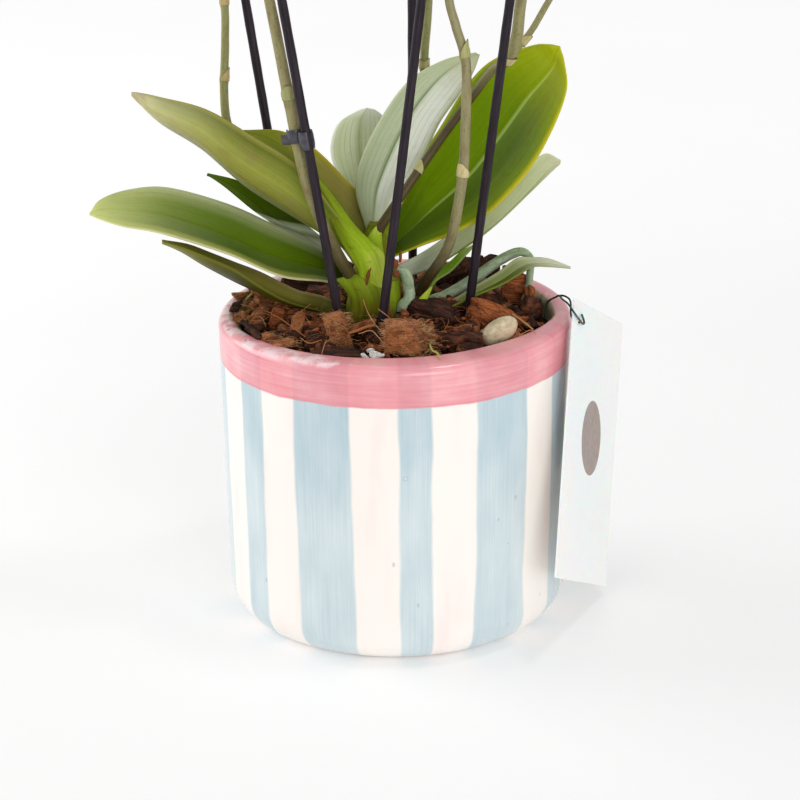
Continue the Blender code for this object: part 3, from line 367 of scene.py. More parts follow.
CLIPS = [
    ("clip_1", "flower_stem_1", "stake_left_back", 330),
    ("clip_2", "flower_stem_2", "stake_left_front", 216),
    ("clip_3", "flower_stem_3", "stake_middle_back", 340),
    ("clip_4", "flower_stem_4", "stake_middle_front", 325),
    ("clip_5", "flower_stem_5", "stake_right_front", 300),
]

ROOTS = {
    "aerial_root_large": ((2.3, 2.6, 2.6, 2.2, 1.7, 1.6), [
        (11, 4, 128), (13, 5, 134), (17, 7, 136), (21, 9, 136.5), (28, 12, 139.5), (34, 14, 142.5),
        (39, 15.5, 146), (45, 16.5, 150), (51, 17, 153), (55, 17.5, 153.5), (58, 18, 151), (58.5, 18, 147),
        (58, 18, 140), (57.5, 18, 124),
    ]),
    "aerial_root_small": ((2.0, 2.4, 2.4, 2.4, 2.2, 1.8), [
        (0, -8, 154), (4, -11, 154), (5.6, -13, 151), (5.8, -13, 148), (6.2, -13.5, 145), (5.5, -14, 142.5),
        (3.4, -14, 140.5), (2.4, -13, 136), (3, -13, 128),
    ]),
}

# Chunks that replace the solids of the same name: size, centre, turn, tilt and tone.
CHUNKS = {
    "husk_block": ((19, 13.5, 17), (5, -46, 134.5), 4, 4, 0.75),
    "husk_chip": ((8.5, 8, 15), (-24, -35, 136.5), 14, -14, 0.72),
    "bark_dark": ((22, 11, 10), (17, -17, 137.5), -14, 8, 0.12),
    "bark_orange": ((19, 14, 12), (41, -15, 136.5), -32, 14, 0.9),
    "bark_red": ((19, 12, 9), (26, -39, 132), -12, 6, 0.3),
}
PEBBLE = ((14, 8.5, 8), (43, -33, 135), 12, -30)

# Chips that the photo shows: size, centre, turn, tilt, lean and tone from dark to orange.
PLACED_CHIPS = [
    ((16, 7, 5), (-57, -4, 130), 62, 10, 0, 0.08),
    ((15, 12, 7), (-52, 14, 132), 20, 6, 8, 0.62),
    ((10, 9, 9), (-53, -3, 132), 40, 20, 0, 0.5),
    ((5, 4, 11), (-50, -12, 134), 20, 12, 10, 0.8),
    ((5, 4, 17), (-41, -22, 135), 12, 14, -8, 0.7),
    ((9, 7, 8), (-45, -30, 132), 50, 8, 10, 0.15),
    ((15, 8, 6), (-47, -34, 130), 38, 6, 0, 0.2),
    ((30, 8, 6), (-20, -52, 131), 4, 3, 10, 0.12),
    ((12, 3, 3), (-14, -32, 138), 12, -12, 0, 0.7),
    ((18, 8, 7), (-40, 31, 134), 20, 10, 14, 0.2),
    ((14, 9, 6), (-30, 22, 135), -30, 10, 0, 0.35),
    ((3, 3, 5), (4, -20, 138), 20, 10, 0, 0.9),
    ((11, 7, 6), (26, -31, 134), 14, 10, 0, 0.4),
    ((10, 7, 6), (31, -45, 131), -20, 8, 10, 0.28),
    ((8, 6, 5), (50, -4, 134), 20, 10, 0, 0.22),
    ((12, 7, 15), (50, 20, 138), 20, 14, -8, 0.84),
    ((14, 9, 9), (57, 5, 132), 70, 10, 8, 0.3),
    ((10, 8, 6), (57, -10, 130), 60, 10, 0, 0.12),
    ((12, 2.5, 4), (53, -13, 133), 60, 20, 30, 0.92),
    ((9, 3, 6), (58, 14, 134), 100, -30, 30, 0.8),
    ((26, 9, 8), (27, 37, 139), 12, -24, 10, 0.18),
    ((10, 8, 10), (40, 38, 141), 30, 10, 0, 0.05),
    ((11, 8, 7), (40, 6, 135), 30, 10, 0, 0.35),
    ((11, 4.5, 3), (-67.5, 3, 135.6), 80, 4, 0, 0.1),
    ((9, 4, 2.6), (-65, -13, 135.4), 60, -4, 6, 0.7),
    ((17, 3.6, 2.8), (-60, -29, 135.8), -62, 5, 0, 0.12),
    ((8, 6, 2.4), (-66, 20, 135.2), 30, 8, 0, 0.66),
    ((7, 5, 2.2), (-60, 29, 135.0), -40, 6, 8, 0.3),
    ((9, 7, 3), (-57, 16, 136.4), 10, 10, 0, 0.7),
    ((12, 8, 5), (-59, -7, 133.5), 70, 4, 0, 0.72),
    ((11, 7, 5), (-60, 6, 134.0), 95, 6, 0, 0.66),
    ((10, 7, 4), (-57, -21, 133.4), 50, 4, 0, 0.3),
    ((10, 7, 4), (-51, -33, 133.2), 40, 4, 0, 0.7),
    ((9, 6, 3), (-46, -41, 133.4), 30, 6, 0, 0.6),
    ((10, 6, 3), (-60, 24, 134.0), 130, 4, 0, 0.2),
    ((9, 6, 3), (-53, 35, 133.6), -50, 4, 0, 0.6),
    ((12, 8, 7), (33, 22, 136), -20, 12, 0, 0.3),
]
# Strands that the photo shows on the heap: half thickness, tone and route.
STRANDS = [
    (0.2, 0.4, [(-59, 0, 135), (-52, -12, 137), (-45, -28, 138), (-37, -43, 137)]),
    (0.2, 0.7, [(-13, -35, 150), (-11, -32, 143), (-8, -38, 140), (-5, -45, 139)]),
    (0.17, 0.65, [(-7, -35, 146), (-4, -36, 144), (-1, -35, 141)]),
    (0.18, 0.7, [(-15, -46, 139), (-10, -45, 140), (-7, -50, 139), (-5, -52, 137)]),
    (0.7, 0.35, [(-19, -42, 138), (-15, -41, 139), (-12, -39, 139.5), (-8, -38, 140)]),
    (0.17, 0.5, [(-39, -16, 138), (-38, -19, 141), (-35, -21, 144)]),
    (0.17, 0.5, [(-30, -58, 134.6), (-29, -58, 138), (-28, -56, 140)]),
    (0.22, 0.5, [(-61, -18, 134.6), (-59, -14, 136), (-56, -15, 136), (-54, -23, 135)]),
    (0.17, 0.5, [(-42, -4, 140), (-40, -9, 139), (-37, -22, 138), (-35, -28, 137)]),
    (0.45, 1.0, [(14, -54, 137), (15, -59, 136), (17, -61, 135.5), (18, -66, 135)]),
    (0.2, 0.5, [(51, -39, 135), (56, -38, 137), (58, -41, 136)]),
    (0.4, 0.7, [(49, -20, 138), (53, -26, 137), (57, -34, 136)]),
    (0.17, 0.5, [(-39, -47, 138), (-35, -51, 137), (-30, -50, 138)]),
    (0.5, 1.0, [(-64, 12, 135), (-61, 15, 137), (-57, 17, 137)]),
    (0.14, 0.5, [(-58, -7, 135.5), (-53, -11, 136), (-56, -17, 135.6), (-62, -14, 135), (-58, -7, 135.5)]),
]

# Crumbs of perlite: size and centre.
PERLITE = [
    ((5.0, 4.0, 3.4), (-8.5, -55, 132.4)), ((3.4, 3.0, 3.0), (-12.5, -55, 132.0)), ((3.0, 2.4, 2.0), (-10, -51, 134.0)),
    ((2.0, 1.6, 1.4), (-5.5, -56, 132.8)), ((2.6, 2.0, 1.8), (-29, 12, 136.0)), ((2.4, 2.0, 1.6), (36, 30, 135.0)),
]

# Studio: sky strength, lamps (place in metres, size, watts), and the floor's own glow from front to back.
SKY = 0.6
LAMPS = [
    ("overhead", (0.35, -0.12, 1.14), (0.25, 0.12), 1.5),
    ("left", (-1.15, 0.3, 0.55), (0.9, 0.7), 8.0),
    ("front", (0.58, -1.6, 0.55), (1.0, 0.8), 9.5),
]
FLOOR_COLOUR = (205, 205, 205)
FLOOR_GLOW = [(0.0, (160, 160, 160)), (0.3, (170, 170, 170)), (0.6, (184, 184, 184)), (1.0, (192, 192, 192))]


# Small helpers

def srgb(colour):
    """Linear colour from 0 to 255 values."""
    out = []
    for value in colour:
        c = value / 255.0
        out.append(c / 12.92 if c <= 0.04045 else ((c + 0.055) / 1.055) ** 2.4)
    return (*out, 1.0)


def spline_point(points, share):
    last = len(points) - 1
    place = min(max(share, 0.0), 1.0) * last
    index = min(int(place), last - 1)
    t = place - index
    p1, p2 = Vector(points[index]), Vector(points[index + 1])
    p0 = Vector(points[index - 1]) if index else p1 * 2 - p2
    p3 = Vector(points[index + 2]) if index + 2 <= last else p2 * 2 - p1
    a, b = p1 * 2, p2 - p0
    c = p0 * 2 - p1 * 5 + p2 * 4 - p3
    d = p1 * 3 - p0 - p2 * 3 + p3
    return (a + b * t + c * t * t + d * t * t * t) * 0.5


def spline_tangent(points, share):
    step = 0.005
    return (spline_point(points, min(share + step, 1.0)) - spline_point(points, max(share - step, 0.0))).normalized()


def sampled(points, count):
    return [spline_point(points, i / (count - 1)) for i in range(count)]


def blend_value(values, share):
    place = min(max(share, 0.0), 1.0) * (len(values) - 1)
    index = min(int(place), len(values) - 2)
    t = place - index
    t = t * t * (3.0 - 2.0 * t)
    return values[index] + (values[index + 1] - values[index]) * t


class Bag:
    """Vertices and faces gathered in millimetres, with the grain coordinate, tone and UV of each vertex."""

    def __init__(self):
        self.verts, self.faces, self.slots = [], [], []
        self.grain, self.tone, self.uv = [], [], []

    def add(self, verts, faces, grain=None, tone=0.5, slots=0, uv=None):
        start = len(self.verts)
        self.verts += [tuple(v) for v in verts]
        self.faces += [tuple(i + start for i in face) for face in faces]
        self.slots += [slots] * len(faces) if isinstance(slots, int) else list(slots)
        self.grain += [tuple(g) for g in (verts if grain is None else grain)]
        self.tone += [tone] * len(verts) if isinstance(tone, (int, float)) else list(tone)
        self.uv += [(0.0, 0.0)] * len(verts) if uv is None else list(uv)

    def object(self, name, materials, smooth=True, sharp=None):
        mesh = bpy.data.meshes.new(name)
        verts = (np.array(self.verts, dtype=float) * MM).tolist()
        mesh.from_pydata(verts, [], self.faces)
        for material in materials:
            mesh.materials.append(material)
        mesh.polygons.foreach_set("material_index", self.slots)
        grain = mesh.attributes.new("grain", "FLOAT_VECTOR", "POINT")
        grain.data.foreach_set("vector", np.array(self.grain, dtype=np.float32).ravel())
        tone = mesh.attributes.new("tone", "FLOAT", "POINT")
        tone.data.foreach_set("value", np.array(self.tone, dtype=np.float32))
        layer = mesh.uv_layers.new(name="UVMap")
        loops = np.empty(len(mesh.loops), dtype=np.int32)
        mesh.loops.foreach_get("vertex_index", loops)
        layer.data.foreach_set("uv", np.array(self.uv, dtype=np.float32)[loops].ravel())
        if smooth:
            mesh.shade_smooth()
            if sharp:
                mesh.set_sharp_from_angle(angle=math.radians(sharp))
        mesh.validate()
        obj = bpy.data.objects.new(name, mesh)
        bpy.context.scene.collection.objects.link(obj)
        return obj


def settle(obj, slot, *nodes):
    """The piece belongs to the root body and stands for CAD nodes, which it hides. Its slot argument is not used."""
    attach(obj, "root")
    if nodes:
        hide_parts(*nodes)
    return obj


def frames_along(path):
    """Tangent and two side directions at each point, turned as little as possible from one to the next."""
    path = np.array([tuple(p) for p in path], dtype=float)
    tangent = np.gradient(path, axis=0)
    tangent /= np.linalg.norm(tangent, axis=1, keepdims=True) + 1e-12
    side = np.cross(tangent[0], (0.31, 0.17, 0.93))
    if np.linalg.norm(side) < 0.1:
        side = np.cross(tangent[0], (1.0, 0.2, 0.0))
    sides = []
    for t in tangent:
        side = side - t * side.dot(t)
        side = side / np.linalg.norm(side)
        sides.append(side)
    sides = np.array(sides)
    return path, tangent, sides, np.cross(tangent, sides)


def tube_shape(path, radii, sides=12, start=0.0):
    """Round tube with closed ends, and its grain: round the section, and along in millimetres."""
    path, tangent, one, two = frames_along(path)
    along = np.concatenate([[0.0], np.cumsum(np.linalg.norm(np.diff(path, axis=0), axis=1))]) + start
    verts, grain, faces = [], [], []
    for i, (p, a, b) in enumerate(zip(path, one, two)):
        for k in range(sides):
            angle = 2.0 * math.pi * k / sides
            c, s = math.cos(angle), math.sin(angle)
            verts.append(p + (a * c + b * s) * radii[i])
            grain.append((c * radii[i], s * radii[i], along[i]))
    for i in range(len(path) - 1):
        for k in range(sides):
            m = (k + 1) % sides
            faces.append((i * sides + k, i * sides + m, (i + 1) * sides + m, (i + 1) * sides + k))
    for i, direction in ((0, -1.0), (len(path) - 1, 1.0)):
        verts.append(path[i] + tangent[i] * radii[i] * 0.35 * direction)
        grain.append((0.0, 0.0, along[i]))
        tip = len(verts) - 1
        for k in range(sides):
            m = (k + 1) % sides
            face = (i * sides + k, i * sides + m, tip)
            faces.append(face if direction > 0 else face[::-1])
    return verts, faces, grain


# Materials

class Graph:
    """Node material built with short calls."""

    def __init__(self, name, roughness=0.5, coat=0.0, coat_roughness=0.1, specular=0.5, sheen=0.0, scatter=0.0):
        self.material = bpy.data.materials.new(name)
        self.material.use_nodes = True
        self.tree = self.material.node_tree
        self.shader = self.tree.nodes["Principled BSDF"]
        for key, value in (("Roughness", roughness), ("Coat Weight", coat), ("Coat Roughness", coat_roughness),
                           ("Specular IOR Level", specular), ("Sheen Weight", sheen), ("Subsurface Weight", scatter)):
            self.shader.inputs[key].default_value = value
        self.shader.inputs["Subsurface Scale"].default_value = 0.002

    def node(self, kind, **settings):
        made = self.tree.nodes.new(kind)
        for key, value in settings.items():
            setattr(made, key, value)
        return made

    def put(self, socket, value):
        if isinstance(value, bpy.types.NodeSocket):
            self.tree.links.new(value, socket)
        else:
            socket.default_value = value

    def math(self, operation, a, b=0.0, c=0.0, clamp=False):
        made = self.node("ShaderNodeMath", operation=operation, use_clamp=clamp)
        for socket, value in zip(made.inputs, (a, b, c)):
            self.put(socket, value)
        return made.outputs[0]

    def smooth(self, value, low, high, start=0.0, end=1.0):
        made = self.node("ShaderNodeMapRange", interpolation_type="SMOOTHSTEP")
        for socket, given in zip(made.inputs, (value, low, high, start, end)):
            self.put(socket, given)
        return made.outputs[0]

    def scaled(self, vector, by):
        made = self.node("ShaderNodeVectorMath", operation="MULTIPLY")
        self.put(made.inputs[0], vector)
        self.put(made.inputs[1], by)
        return made.outputs[0]

    def attribute(self, name):
        made = self.node("ShaderNodeAttribute", attribute_name=name)
        return made.outputs["Vector"] if name == "grain" else made.outputs["Fac"]

    def place(self):
        """Position in millimetres."""
        return self.scaled(self.node("ShaderNodeTexCoord").outputs["Object"], (1000.0, 1000.0, 1000.0))

    def split(self, vector):
        made = self.node("ShaderNodeSeparateXYZ")
        self.put(made.inputs[0], vector)
        return made.outputs

    def join(self, x, y, z):
        made = self.node("ShaderNodeCombineXYZ")
        for socket, value in zip(made.inputs, (x, y, z)):
            self.put(socket, value)
        return made.outputs[0]

    def noise(self, vector, scale, detail=3.0, roughness=0.5, distortion=0.0):
        made = self.node("ShaderNodeTexNoise")
        for key, value in (("Vector", vector), ("Scale", scale), ("Detail", detail),
                           ("Roughness", roughness), ("Distortion", distortion)):
            self.put(made.inputs[key], value)
        return made.outputs["Fac"]

    def cells(self, vector, scale, feature="F1"):
        made = self.node("ShaderNodeTexVoronoi", feature=feature)
        self.put(made.inputs["Vector"], vector)
        self.put(made.inputs["Scale"], scale)
        return made.outputs["Distance"]

    def ramp(self, factor, stops):
        made = self.node("ShaderNodeValToRGB")
        ramp = made.color_ramp
        ramp.elements[0].position, ramp.elements[0].color = stops[0][0], srgb(stops[0][1])
        ramp.elements[1].position, ramp.elements[1].color = stops[-1][0], srgb(stops[-1][1])
        for position, colour in stops[1:-1]:
            ramp.elements.new(position).color = srgb(colour)
        self.put(made.inputs[0], factor)
        return made.outputs[0]

    def mix(self, factor, a, b, kind="MIX"):
        made = self.node("ShaderNodeMix", data_type="RGBA", blend_type=kind)
        for index, value in ((0, factor), (6, a), (7, b)):
            if isinstance(value, tuple) and len(value) == 3:
                value = srgb(value)
            self.put(made.inputs[index], value)
        return made.outputs[2]

    def bump(self, height, strength, distance=0.2, below=None):
        made = self.node("ShaderNodeBump")
        made.inputs["Strength"].default_value = strength
        made.inputs["Distance"].default_value = distance * MM
        self.put(made.inputs["Height"], height)
        if below is not None:
            self.put(made.inputs["Normal"], below)
        return made.outputs[0]

    def finish(self, colour=None, roughness=None, normal=None):
        for key, value in (("Base Color", colour), ("Roughness", roughness), ("Normal", normal)):
            if value is not None:
                if isinstance(value, tuple) and len(value) == 3:
                    value = srgb(value)
                self.put(self.shader.inputs[key], value)
        if normal is not None:
            self.put(self.shader.inputs["Coat Normal"], normal)
        return self.material


def glaze_material():
    g = Graph("painted_glaze", roughness=0.16, specular=0.5)
    x, y, z = g.split(g.place())
    angle = g.math("DEGREES", g.math("ARCTAN2", x, g.math("MULTIPLY", y, -1.0)))
    wander = g.noise(g.join(g.math("MULTIPLY", angle, 0.05), 0.0, g.math("MULTIPLY", z, 0.016)), 1.0, 1.0)
    ripple = g.noise(g.join(g.math("MULTIPLY", angle, 0.3), 3.0, g.math("MULTIPLY", z, 0.05)), 1.0, 2.0)
    drift = g.math("ADD", g.math("MULTIPLY", g.math("SUBTRACT", wander, 0.5), 3.0),
                   g.math("MULTIPLY", g.math("SUBTRACT", ripple, 0.5), 1.0))
    drawn = g.math("ADD", angle, drift)
    inside, signed = None, None
    for centre, width in STRIPES:
        off = g.math("WRAP", g.math("SUBTRACT", drawn, centre), 180.0, -180.0)
        depth = g.math("SUBTRACT", width / 2.0, g.math("ABSOLUTE", off))
        inside = depth if inside is None else g.math("MAXIMUM", inside, depth)
        left = g.math("MULTIPLY", g.smooth(depth, 3.0, 0.2), g.smooth(off, 0.5, -0.5))
        signed = left if signed is None else g.math("MAXIMUM", signed, left)
    stripe = g.smooth(inside, -0.7, 0.6)
    streaks = g.noise(g.join(g.math("MULTIPLY", angle, 2.4), 0.0, g.math("MULTIPLY", z, 0.02)), 1.0, 4.0, 0.6)
    cloud = g.noise(g.join(g.math("MULTIPLY", angle, 0.1), 7.0, g.math("MULTIPLY", z, 0.028)), 1.0, 3.0)
    wash = g.math("ADD", g.math("MULTIPLY", streaks, 0.45), g.math("MULTIPLY", cloud, 0.55))
    top = g.math("MULTIPLY", g.smooth(z, 60.0, 112.0), 0.16)
    tint = g.math("ADD", g.math("ADD", wash, top), g.math("MULTIPLY", signed, 0.1))
    blue = g.ramp(tint, [(0.28, (228, 236, 238)), (0.5, (212, 224, 227)), (0.7, (194, 211, 217)), (0.95, (168, 196, 206))])
    warm = g.noise(g.join(g.math("MULTIPLY", angle, 0.11), 0.0, g.math("MULTIPLY", z, 0.02)), 1.0, 2.0)
    cream = g.ramp(warm, [(0.3, (249, 244, 238)), (0.5, (250, 243, 236)), (0.72, (249, 235, 230))])
    body = g.mix(stripe, cream, blue)
    sway = g.noise(g.join(g.math("MULTIPLY", angle, 0.06), 0.0, 0.0), 1.0, 3.0)
    raised = g.math("ADD", z, g.math("MULTIPLY", g.math("SUBTRACT", sway, 0.5), 2.4))
    in_band = g.smooth(raised, BAND_FOOT - 0.4, BAND_FOOT + 0.5)
    brush = g.noise(g.join(g.math("MULTIPLY", angle, 0.04), 0.0, g.math("MULTIPLY", z, 0.8)), 1.0, 4.0, 0.6)
    blotch = g.noise(g.join(g.math("MULTIPLY", angle, 0.07), 11.0, g.math("MULTIPLY", z, 0.06)), 1.0, 3.0)
    band_foot = g.smooth(z, BAND_FOOT + 2.5, BAND_FOOT, 0.0, 0.1)
    pink_depth = g.math("ADD", g.math("ADD", g.math("MULTIPLY", brush, 0.45), g.math("MULTIPLY", blotch, 0.55)), band_foot)
    pink = g.ramp(pink_depth, [(0.3, (246, 190, 194)), (0.48, (240, 164, 170)), (0.62, (233, 148, 157)), (0.85, (220, 120, 134))])
    over_blue = g.mix(g.math("MULTIPLY", stripe, 0.3), pink, g.mix(1.0, pink, (224, 224, 232), "MULTIPLY"))
    painted = g.mix(in_band, body, over_blue)
    radius = g.math("SQRT", g.math("ADD", g.math("MULTIPLY", x, x), g.math("MULTIPLY", y, y)))
    patch = g.noise(g.place(), 0.1, 3.0, 0.6)
    left_side = g.smooth(x, 10.0, -60.0)
    pale = g.math("MULTIPLY", g.smooth(z, 131.5, 133.4), g.smooth(g.math("ADD", patch, g.math("MULTIPLY", left_side, 0.24)), 0.64, 0.8))
    painted = g.mix(g.math("MULTIPLY", pale, 0.75), painted, (252, 232, 236))
    speck = g.cells(g.scaled(g.place(), (1.0, 1.0, 0.6)), 0.16)
    rare = g.smooth(g.noise(g.place(), 0.045, 2.0), 0.56, 0.64)
    painted = g.mix(g.math("MULTIPLY", g.smooth(speck, 0.13, 0.08), g.math("MULTIPLY", rare, 0.4)), painted, (168, 140, 168))
    for px, py, pz, size, colour in GLAZE_MARKS:
        away = g.node("ShaderNodeVectorMath", operation="DISTANCE")
        g.put(away.inputs[0], g.place())
        g.put(away.inputs[1], (px, py, pz))
        painted = g.mix(g.smooth(away.outputs["Value"], size, size * 0.5, 0.0, 0.75), painted, colour)
    # Inside the pot below the lip: painted shade. The olive-grey stands for the shade on the cream glaze of the inner
    # wall, and a noise varies it.
    inner = g.math("MULTIPLY", g.smooth(z, 133.4, 132.2), g.smooth(g.attribute("tone"), 0.4, 0.6))
    inside_shade_cloud = g.noise(g.place(), 0.25, 4.0, 0.65)
    wall = g.ramp(inside_shade_cloud, [(0.35, (134, 126, 96)), (0.55, (170, 160, 128)), (0.7, (190, 176, 152))])
    painted = g.mix(inner, painted, wall)
    foot_line = g.smooth(g.math("ADD", z, g.math("MULTIPLY", cloud, 1.2)), 1.6, 0.9)
    painted = g.mix(foot_line, painted, (150, 112, 84))
    height = g.math("ADD", g.math("MULTIPLY", streaks, g.math("SUBTRACT", 1.0, in_band)), g.math("MULTIPLY", brush, in_band))
    normal = g.bump(g.noise(g.place(), 0.07, 2.0), 0.3, 0.6, g.bump(height, 0.2, 0.04))
    return g.finish(painted, g.smooth(g.math("MAXIMUM", foot_line, inner), 0.0, 1.0, 0.2, 0.7), normal)


def leaf_material(name, look):
    g = Graph(name, roughness=0.42, specular=0.1)
    g.shader.inputs["Specular Tint"].default_value = srgb((235, 245, 190))
    u, v, _ = g.split(g.node("ShaderNodeTexCoord").outputs["UV"])
    grain = g.attribute("grain")
    wander = g.noise(g.join(0.0, 0.0, g.math("MULTIPLY", v, 3.0)), 1.0, 2.0)
    place = g.math("ADD", u, g.math("MULTIPLY", g.math("SUBTRACT", wander, 0.5), 0.03))
    place = g.math("ADD", place, g.math("MULTIPLY", g.math("SUBTRACT", v, 0.5), look.get("slant", 0.0)))
    # Colour across the blade, with its painted shade and painted sheen.
    body = g.ramp(place, look["across"])
    off_middle = g.math("ABSOLUTE", g.math("SUBTRACT", g.math("MULTIPLY", u, 2.0), 1.0))
    inner = g.smooth(off_middle, 0.97, 0.88, 0.45, 1.0)
    base_end, tip_start, tip_end = look["reach"]
    # On some leaves the base colour is painted shade towards the crown.
    body = g.mix(g.math("MULTIPLY", g.smooth(v, base_end, 0.0, 0.0, 0.9), inner), body, look["base"])
    body = g.mix(g.math("MULTIPLY", g.smooth(v, tip_start, tip_end, 0.0, 0.9), inner), body, look["tip"])
    cloud = g.noise(g.scaled(grain, (0.05, 0.05, 0.03)), 1.0, 3.0, 0.55)
    if "tinge" in look:
        body = g.mix(g.smooth(cloud, 0.46, 0.64, 0.0, 0.55), body, look["tinge"])
    streak = g.noise(g.join(g.math("MULTIPLY", u, 14.0), 0.0, g.math("MULTIPLY", v, 1.3)), 1.0, 4.0, 0.6)
    body = g.mix(g.smooth(streak, 0.54, 0.76, 0.0, 0.2), body, g.mix(1.0, body, (110, 112, 60), "ADD"))
    body = g.mix(g.smooth(streak, 0.48, 0.3, 0.0, 0.3), body, g.mix(1.0, body, (200, 208, 180), "MULTIPLY"))
    ridge = g.math("PINGPONG", g.math("ADD", g.math("MULTIPLY", u, 11.0), g.math("MULTIPLY", streak, 0.6)), 0.5)
    line = g.math("MULTIPLY", g.smooth(ridge, 0.09, 0.0), g.smooth(v, 0.02, 0.15))
    body = g.mix(g.math("MULTIPLY", line, look["vein"]), body, g.mix(1.0, body, (150, 162, 120), "MULTIPLY"))
    fine_line = g.noise(g.join(g.math("MULTIPLY", u, 80.0), 5.0, g.math("MULTIPLY", v, 0.8)), 1.0, 2.0)
    body = g.mix(g.smooth(fine_line, 0.52, 0.64, 0.0, 0.2), body, g.mix(1.0, body, (205, 212, 180), "MULTIPLY"))
    mottle = g.noise(grain, 0.28, 4.0, 0.65)
    body = g.mix(g.smooth(mottle, 0.45, 0.72, 0.0, 0.22), body, g.mix(1.0, body, (226, 214, 180), "MULTIPLY"))
    fleck = g.cells(grain, 0.42)
    body = g.mix(g.smooth(fleck, 0.12, 0.05, 0.0, 0.3), body, g.mix(1.0, body, (90, 90, 60), "ADD"))
    fine = g.noise(grain, 1.6, 3.0)
    height = g.math("ADD", g.math("MULTIPLY", fine, 0.25), g.math("MULTIPLY", streak, 0.7))
    height = g.math("SUBTRACT", height, g.math("MULTIPLY", line, 0.8))
    return g.finish(body, g.math("ADD", g.math("MULTIPLY", mottle, 0.2), 0.32), g.bump(height, 0.3, 0.35))


def crown_material():
    g = Graph("leaf_sheaths", roughness=0.42, specular=0.12)
    g.shader.inputs["Specular Tint"].default_value = srgb((235, 245, 190))
    grain = g.attribute("grain")
    tone = g.attribute("tone")
    long_grain = g.noise(g.scaled(grain, (0.5, 0.5, 0.05)), 1.0, 4.0, 0.6)
    shade = g.math("ADD", tone, g.math("MULTIPLY", g.math("SUBTRACT", long_grain, 0.5), 0.9))
    body = g.ramp(shade, [(0.0, (74, 78, 8)), (0.2, (116, 112, 26)), (0.4, (124, 142, 30)), (0.6, (138, 164, 28)),
                          (0.85, (160, 188, 40)), (1.0, (186, 204, 80))])
    lines = g.noise(g.scaled(grain, (2.6, 2.6, 0.1)), 1.0, 2.0)
    body = g.mix(g.smooth(lines, 0.5, 0.65, 0.0, 0.35), body, g.mix(1.0, body, (186, 196, 140), "MULTIPLY"))
    scar = g.smooth(g.noise(grain, 0.2, 4.0, 0.7), 0.6, 0.68)
    body = g.mix(g.math("MULTIPLY", scar, 0.5), body, (112, 86, 36))
    _, v, _ = g.split(g.node("ShaderNodeTexCoord").outputs["UV"])
    torn = g.math("ADD", v, g.math("MULTIPLY", g.noise(grain, 0.5, 3.0), 0.03))
    body = g.mix(g.smooth(torn, 0.98, 0.998, 0.0, 0.8), body, (120, 96, 62))
    return g.finish(body, None, g.bump(g.math("ADD", lines, long_grain), 0.35, 0.3))


def stem_material(name, low, high, brown, amount):
    g = Graph(name, roughness=0.45, specular=0.3)
    grain = g.attribute("grain")
    tone = g.attribute("tone")
    body = g.mix(tone, low, high)
    patch = g.noise(g.scaled(grain, (0.3, 0.3, 0.06)), 1.0, 4.0, 0.6)
    body = g.mix(g.math("MULTIPLY", g.smooth(patch, 0.42, 0.68), amount), body, g.mix(1.0, body, brown, "MULTIPLY"))
    speck = g.noise(g.scaled(grain, (1.5, 1.5, 0.8)), 1.0, 3.0, 0.6)
    body = g.mix(g.smooth(speck, 0.56, 0.7, 0.0, 0.45), body, g.mix(1.0, body, (70, 66, 50), "ADD"))
    body = g.mix(g.smooth(speck, 0.44, 0.32, 0.0, 0.5), body, g.mix(1.0, body, (150, 140, 120), "MULTIPLY"))
    fine = g.noise(g.scaled(grain, (2.0, 2.0, 0.25)), 1.0, 3.0)
    return g.finish(body, None, g.bump(g.math("ADD", fine, g.math("MULTIPLY", speck, 0.5)), 0.3, 0.15))


def joint_material():
    g = Graph("stem_bracts", roughness=0.5, specular=0.3)
    grain = g.attribute("grain")
    tone = g.attribute("tone")
    _, edge, _ = g.split(g.node("ShaderNodeTexCoord").outputs["UV"])
    body = g.ramp(tone, [(0.0, (136, 138, 92)), (0.35, (172, 172, 112)), (0.7, (190, 172, 118)), (1.0, (218, 206, 156))])
    lines = g.noise(g.scaled(grain, (2.4, 2.4, 0.2)), 1.0, 3.0)
    body = g.mix(g.math("MULTIPLY", g.smooth(lines, 0.48, 0.66), 0.4), body, (128, 108, 68))
    body = g.mix(g.smooth(edge, 0.86, 0.96, 0.0, 0.8), body, (104, 84, 52))
    return g.finish(body, None, g.bump(lines, 0.3, 0.12))


def stake_material():
    g = Graph("dark_plastic", roughness=0.42, specular=0.18)
    grain = g.attribute("grain")
    haze = g.noise(g.scaled(grain, (0.6, 0.6, 0.05)), 1.0, 4.0, 0.6)
    body = g.ramp(haze, [(0.3, (30, 22, 28)), (0.55, (42, 34, 42)), (0.8, (60, 52, 60))])
    scratch = g.noise(g.scaled(grain, (5.0, 5.0, 0.12)), 1.0, 2.0)
    body = g.mix(g.smooth(scratch, 0.62, 0.72, 0.0, 0.3), body, (100, 90, 98))
    rough = g.math("ADD", g.math("MULTIPLY", haze, 0.22), 0.32)
    return g.finish(body, rough, g.bump(g.noise(g.scaled(grain, (1.2, 1.2, 0.5)), 1.0, 3.0), 0.2, 0.1))


def clip_material():
    g = Graph("clip_plastic", roughness=0.3, specular=0.5)
    grain = g.attribute("grain")
    cloud = g.noise(grain, 0.5, 3.0)
    body = g.ramp(cloud, [(0.3, (44, 44, 52)), (0.7, (70, 70, 80))])
    return g.finish(body, None, g.bump(g.noise(grain, 1.4, 3.0), 0.2, 0.1))


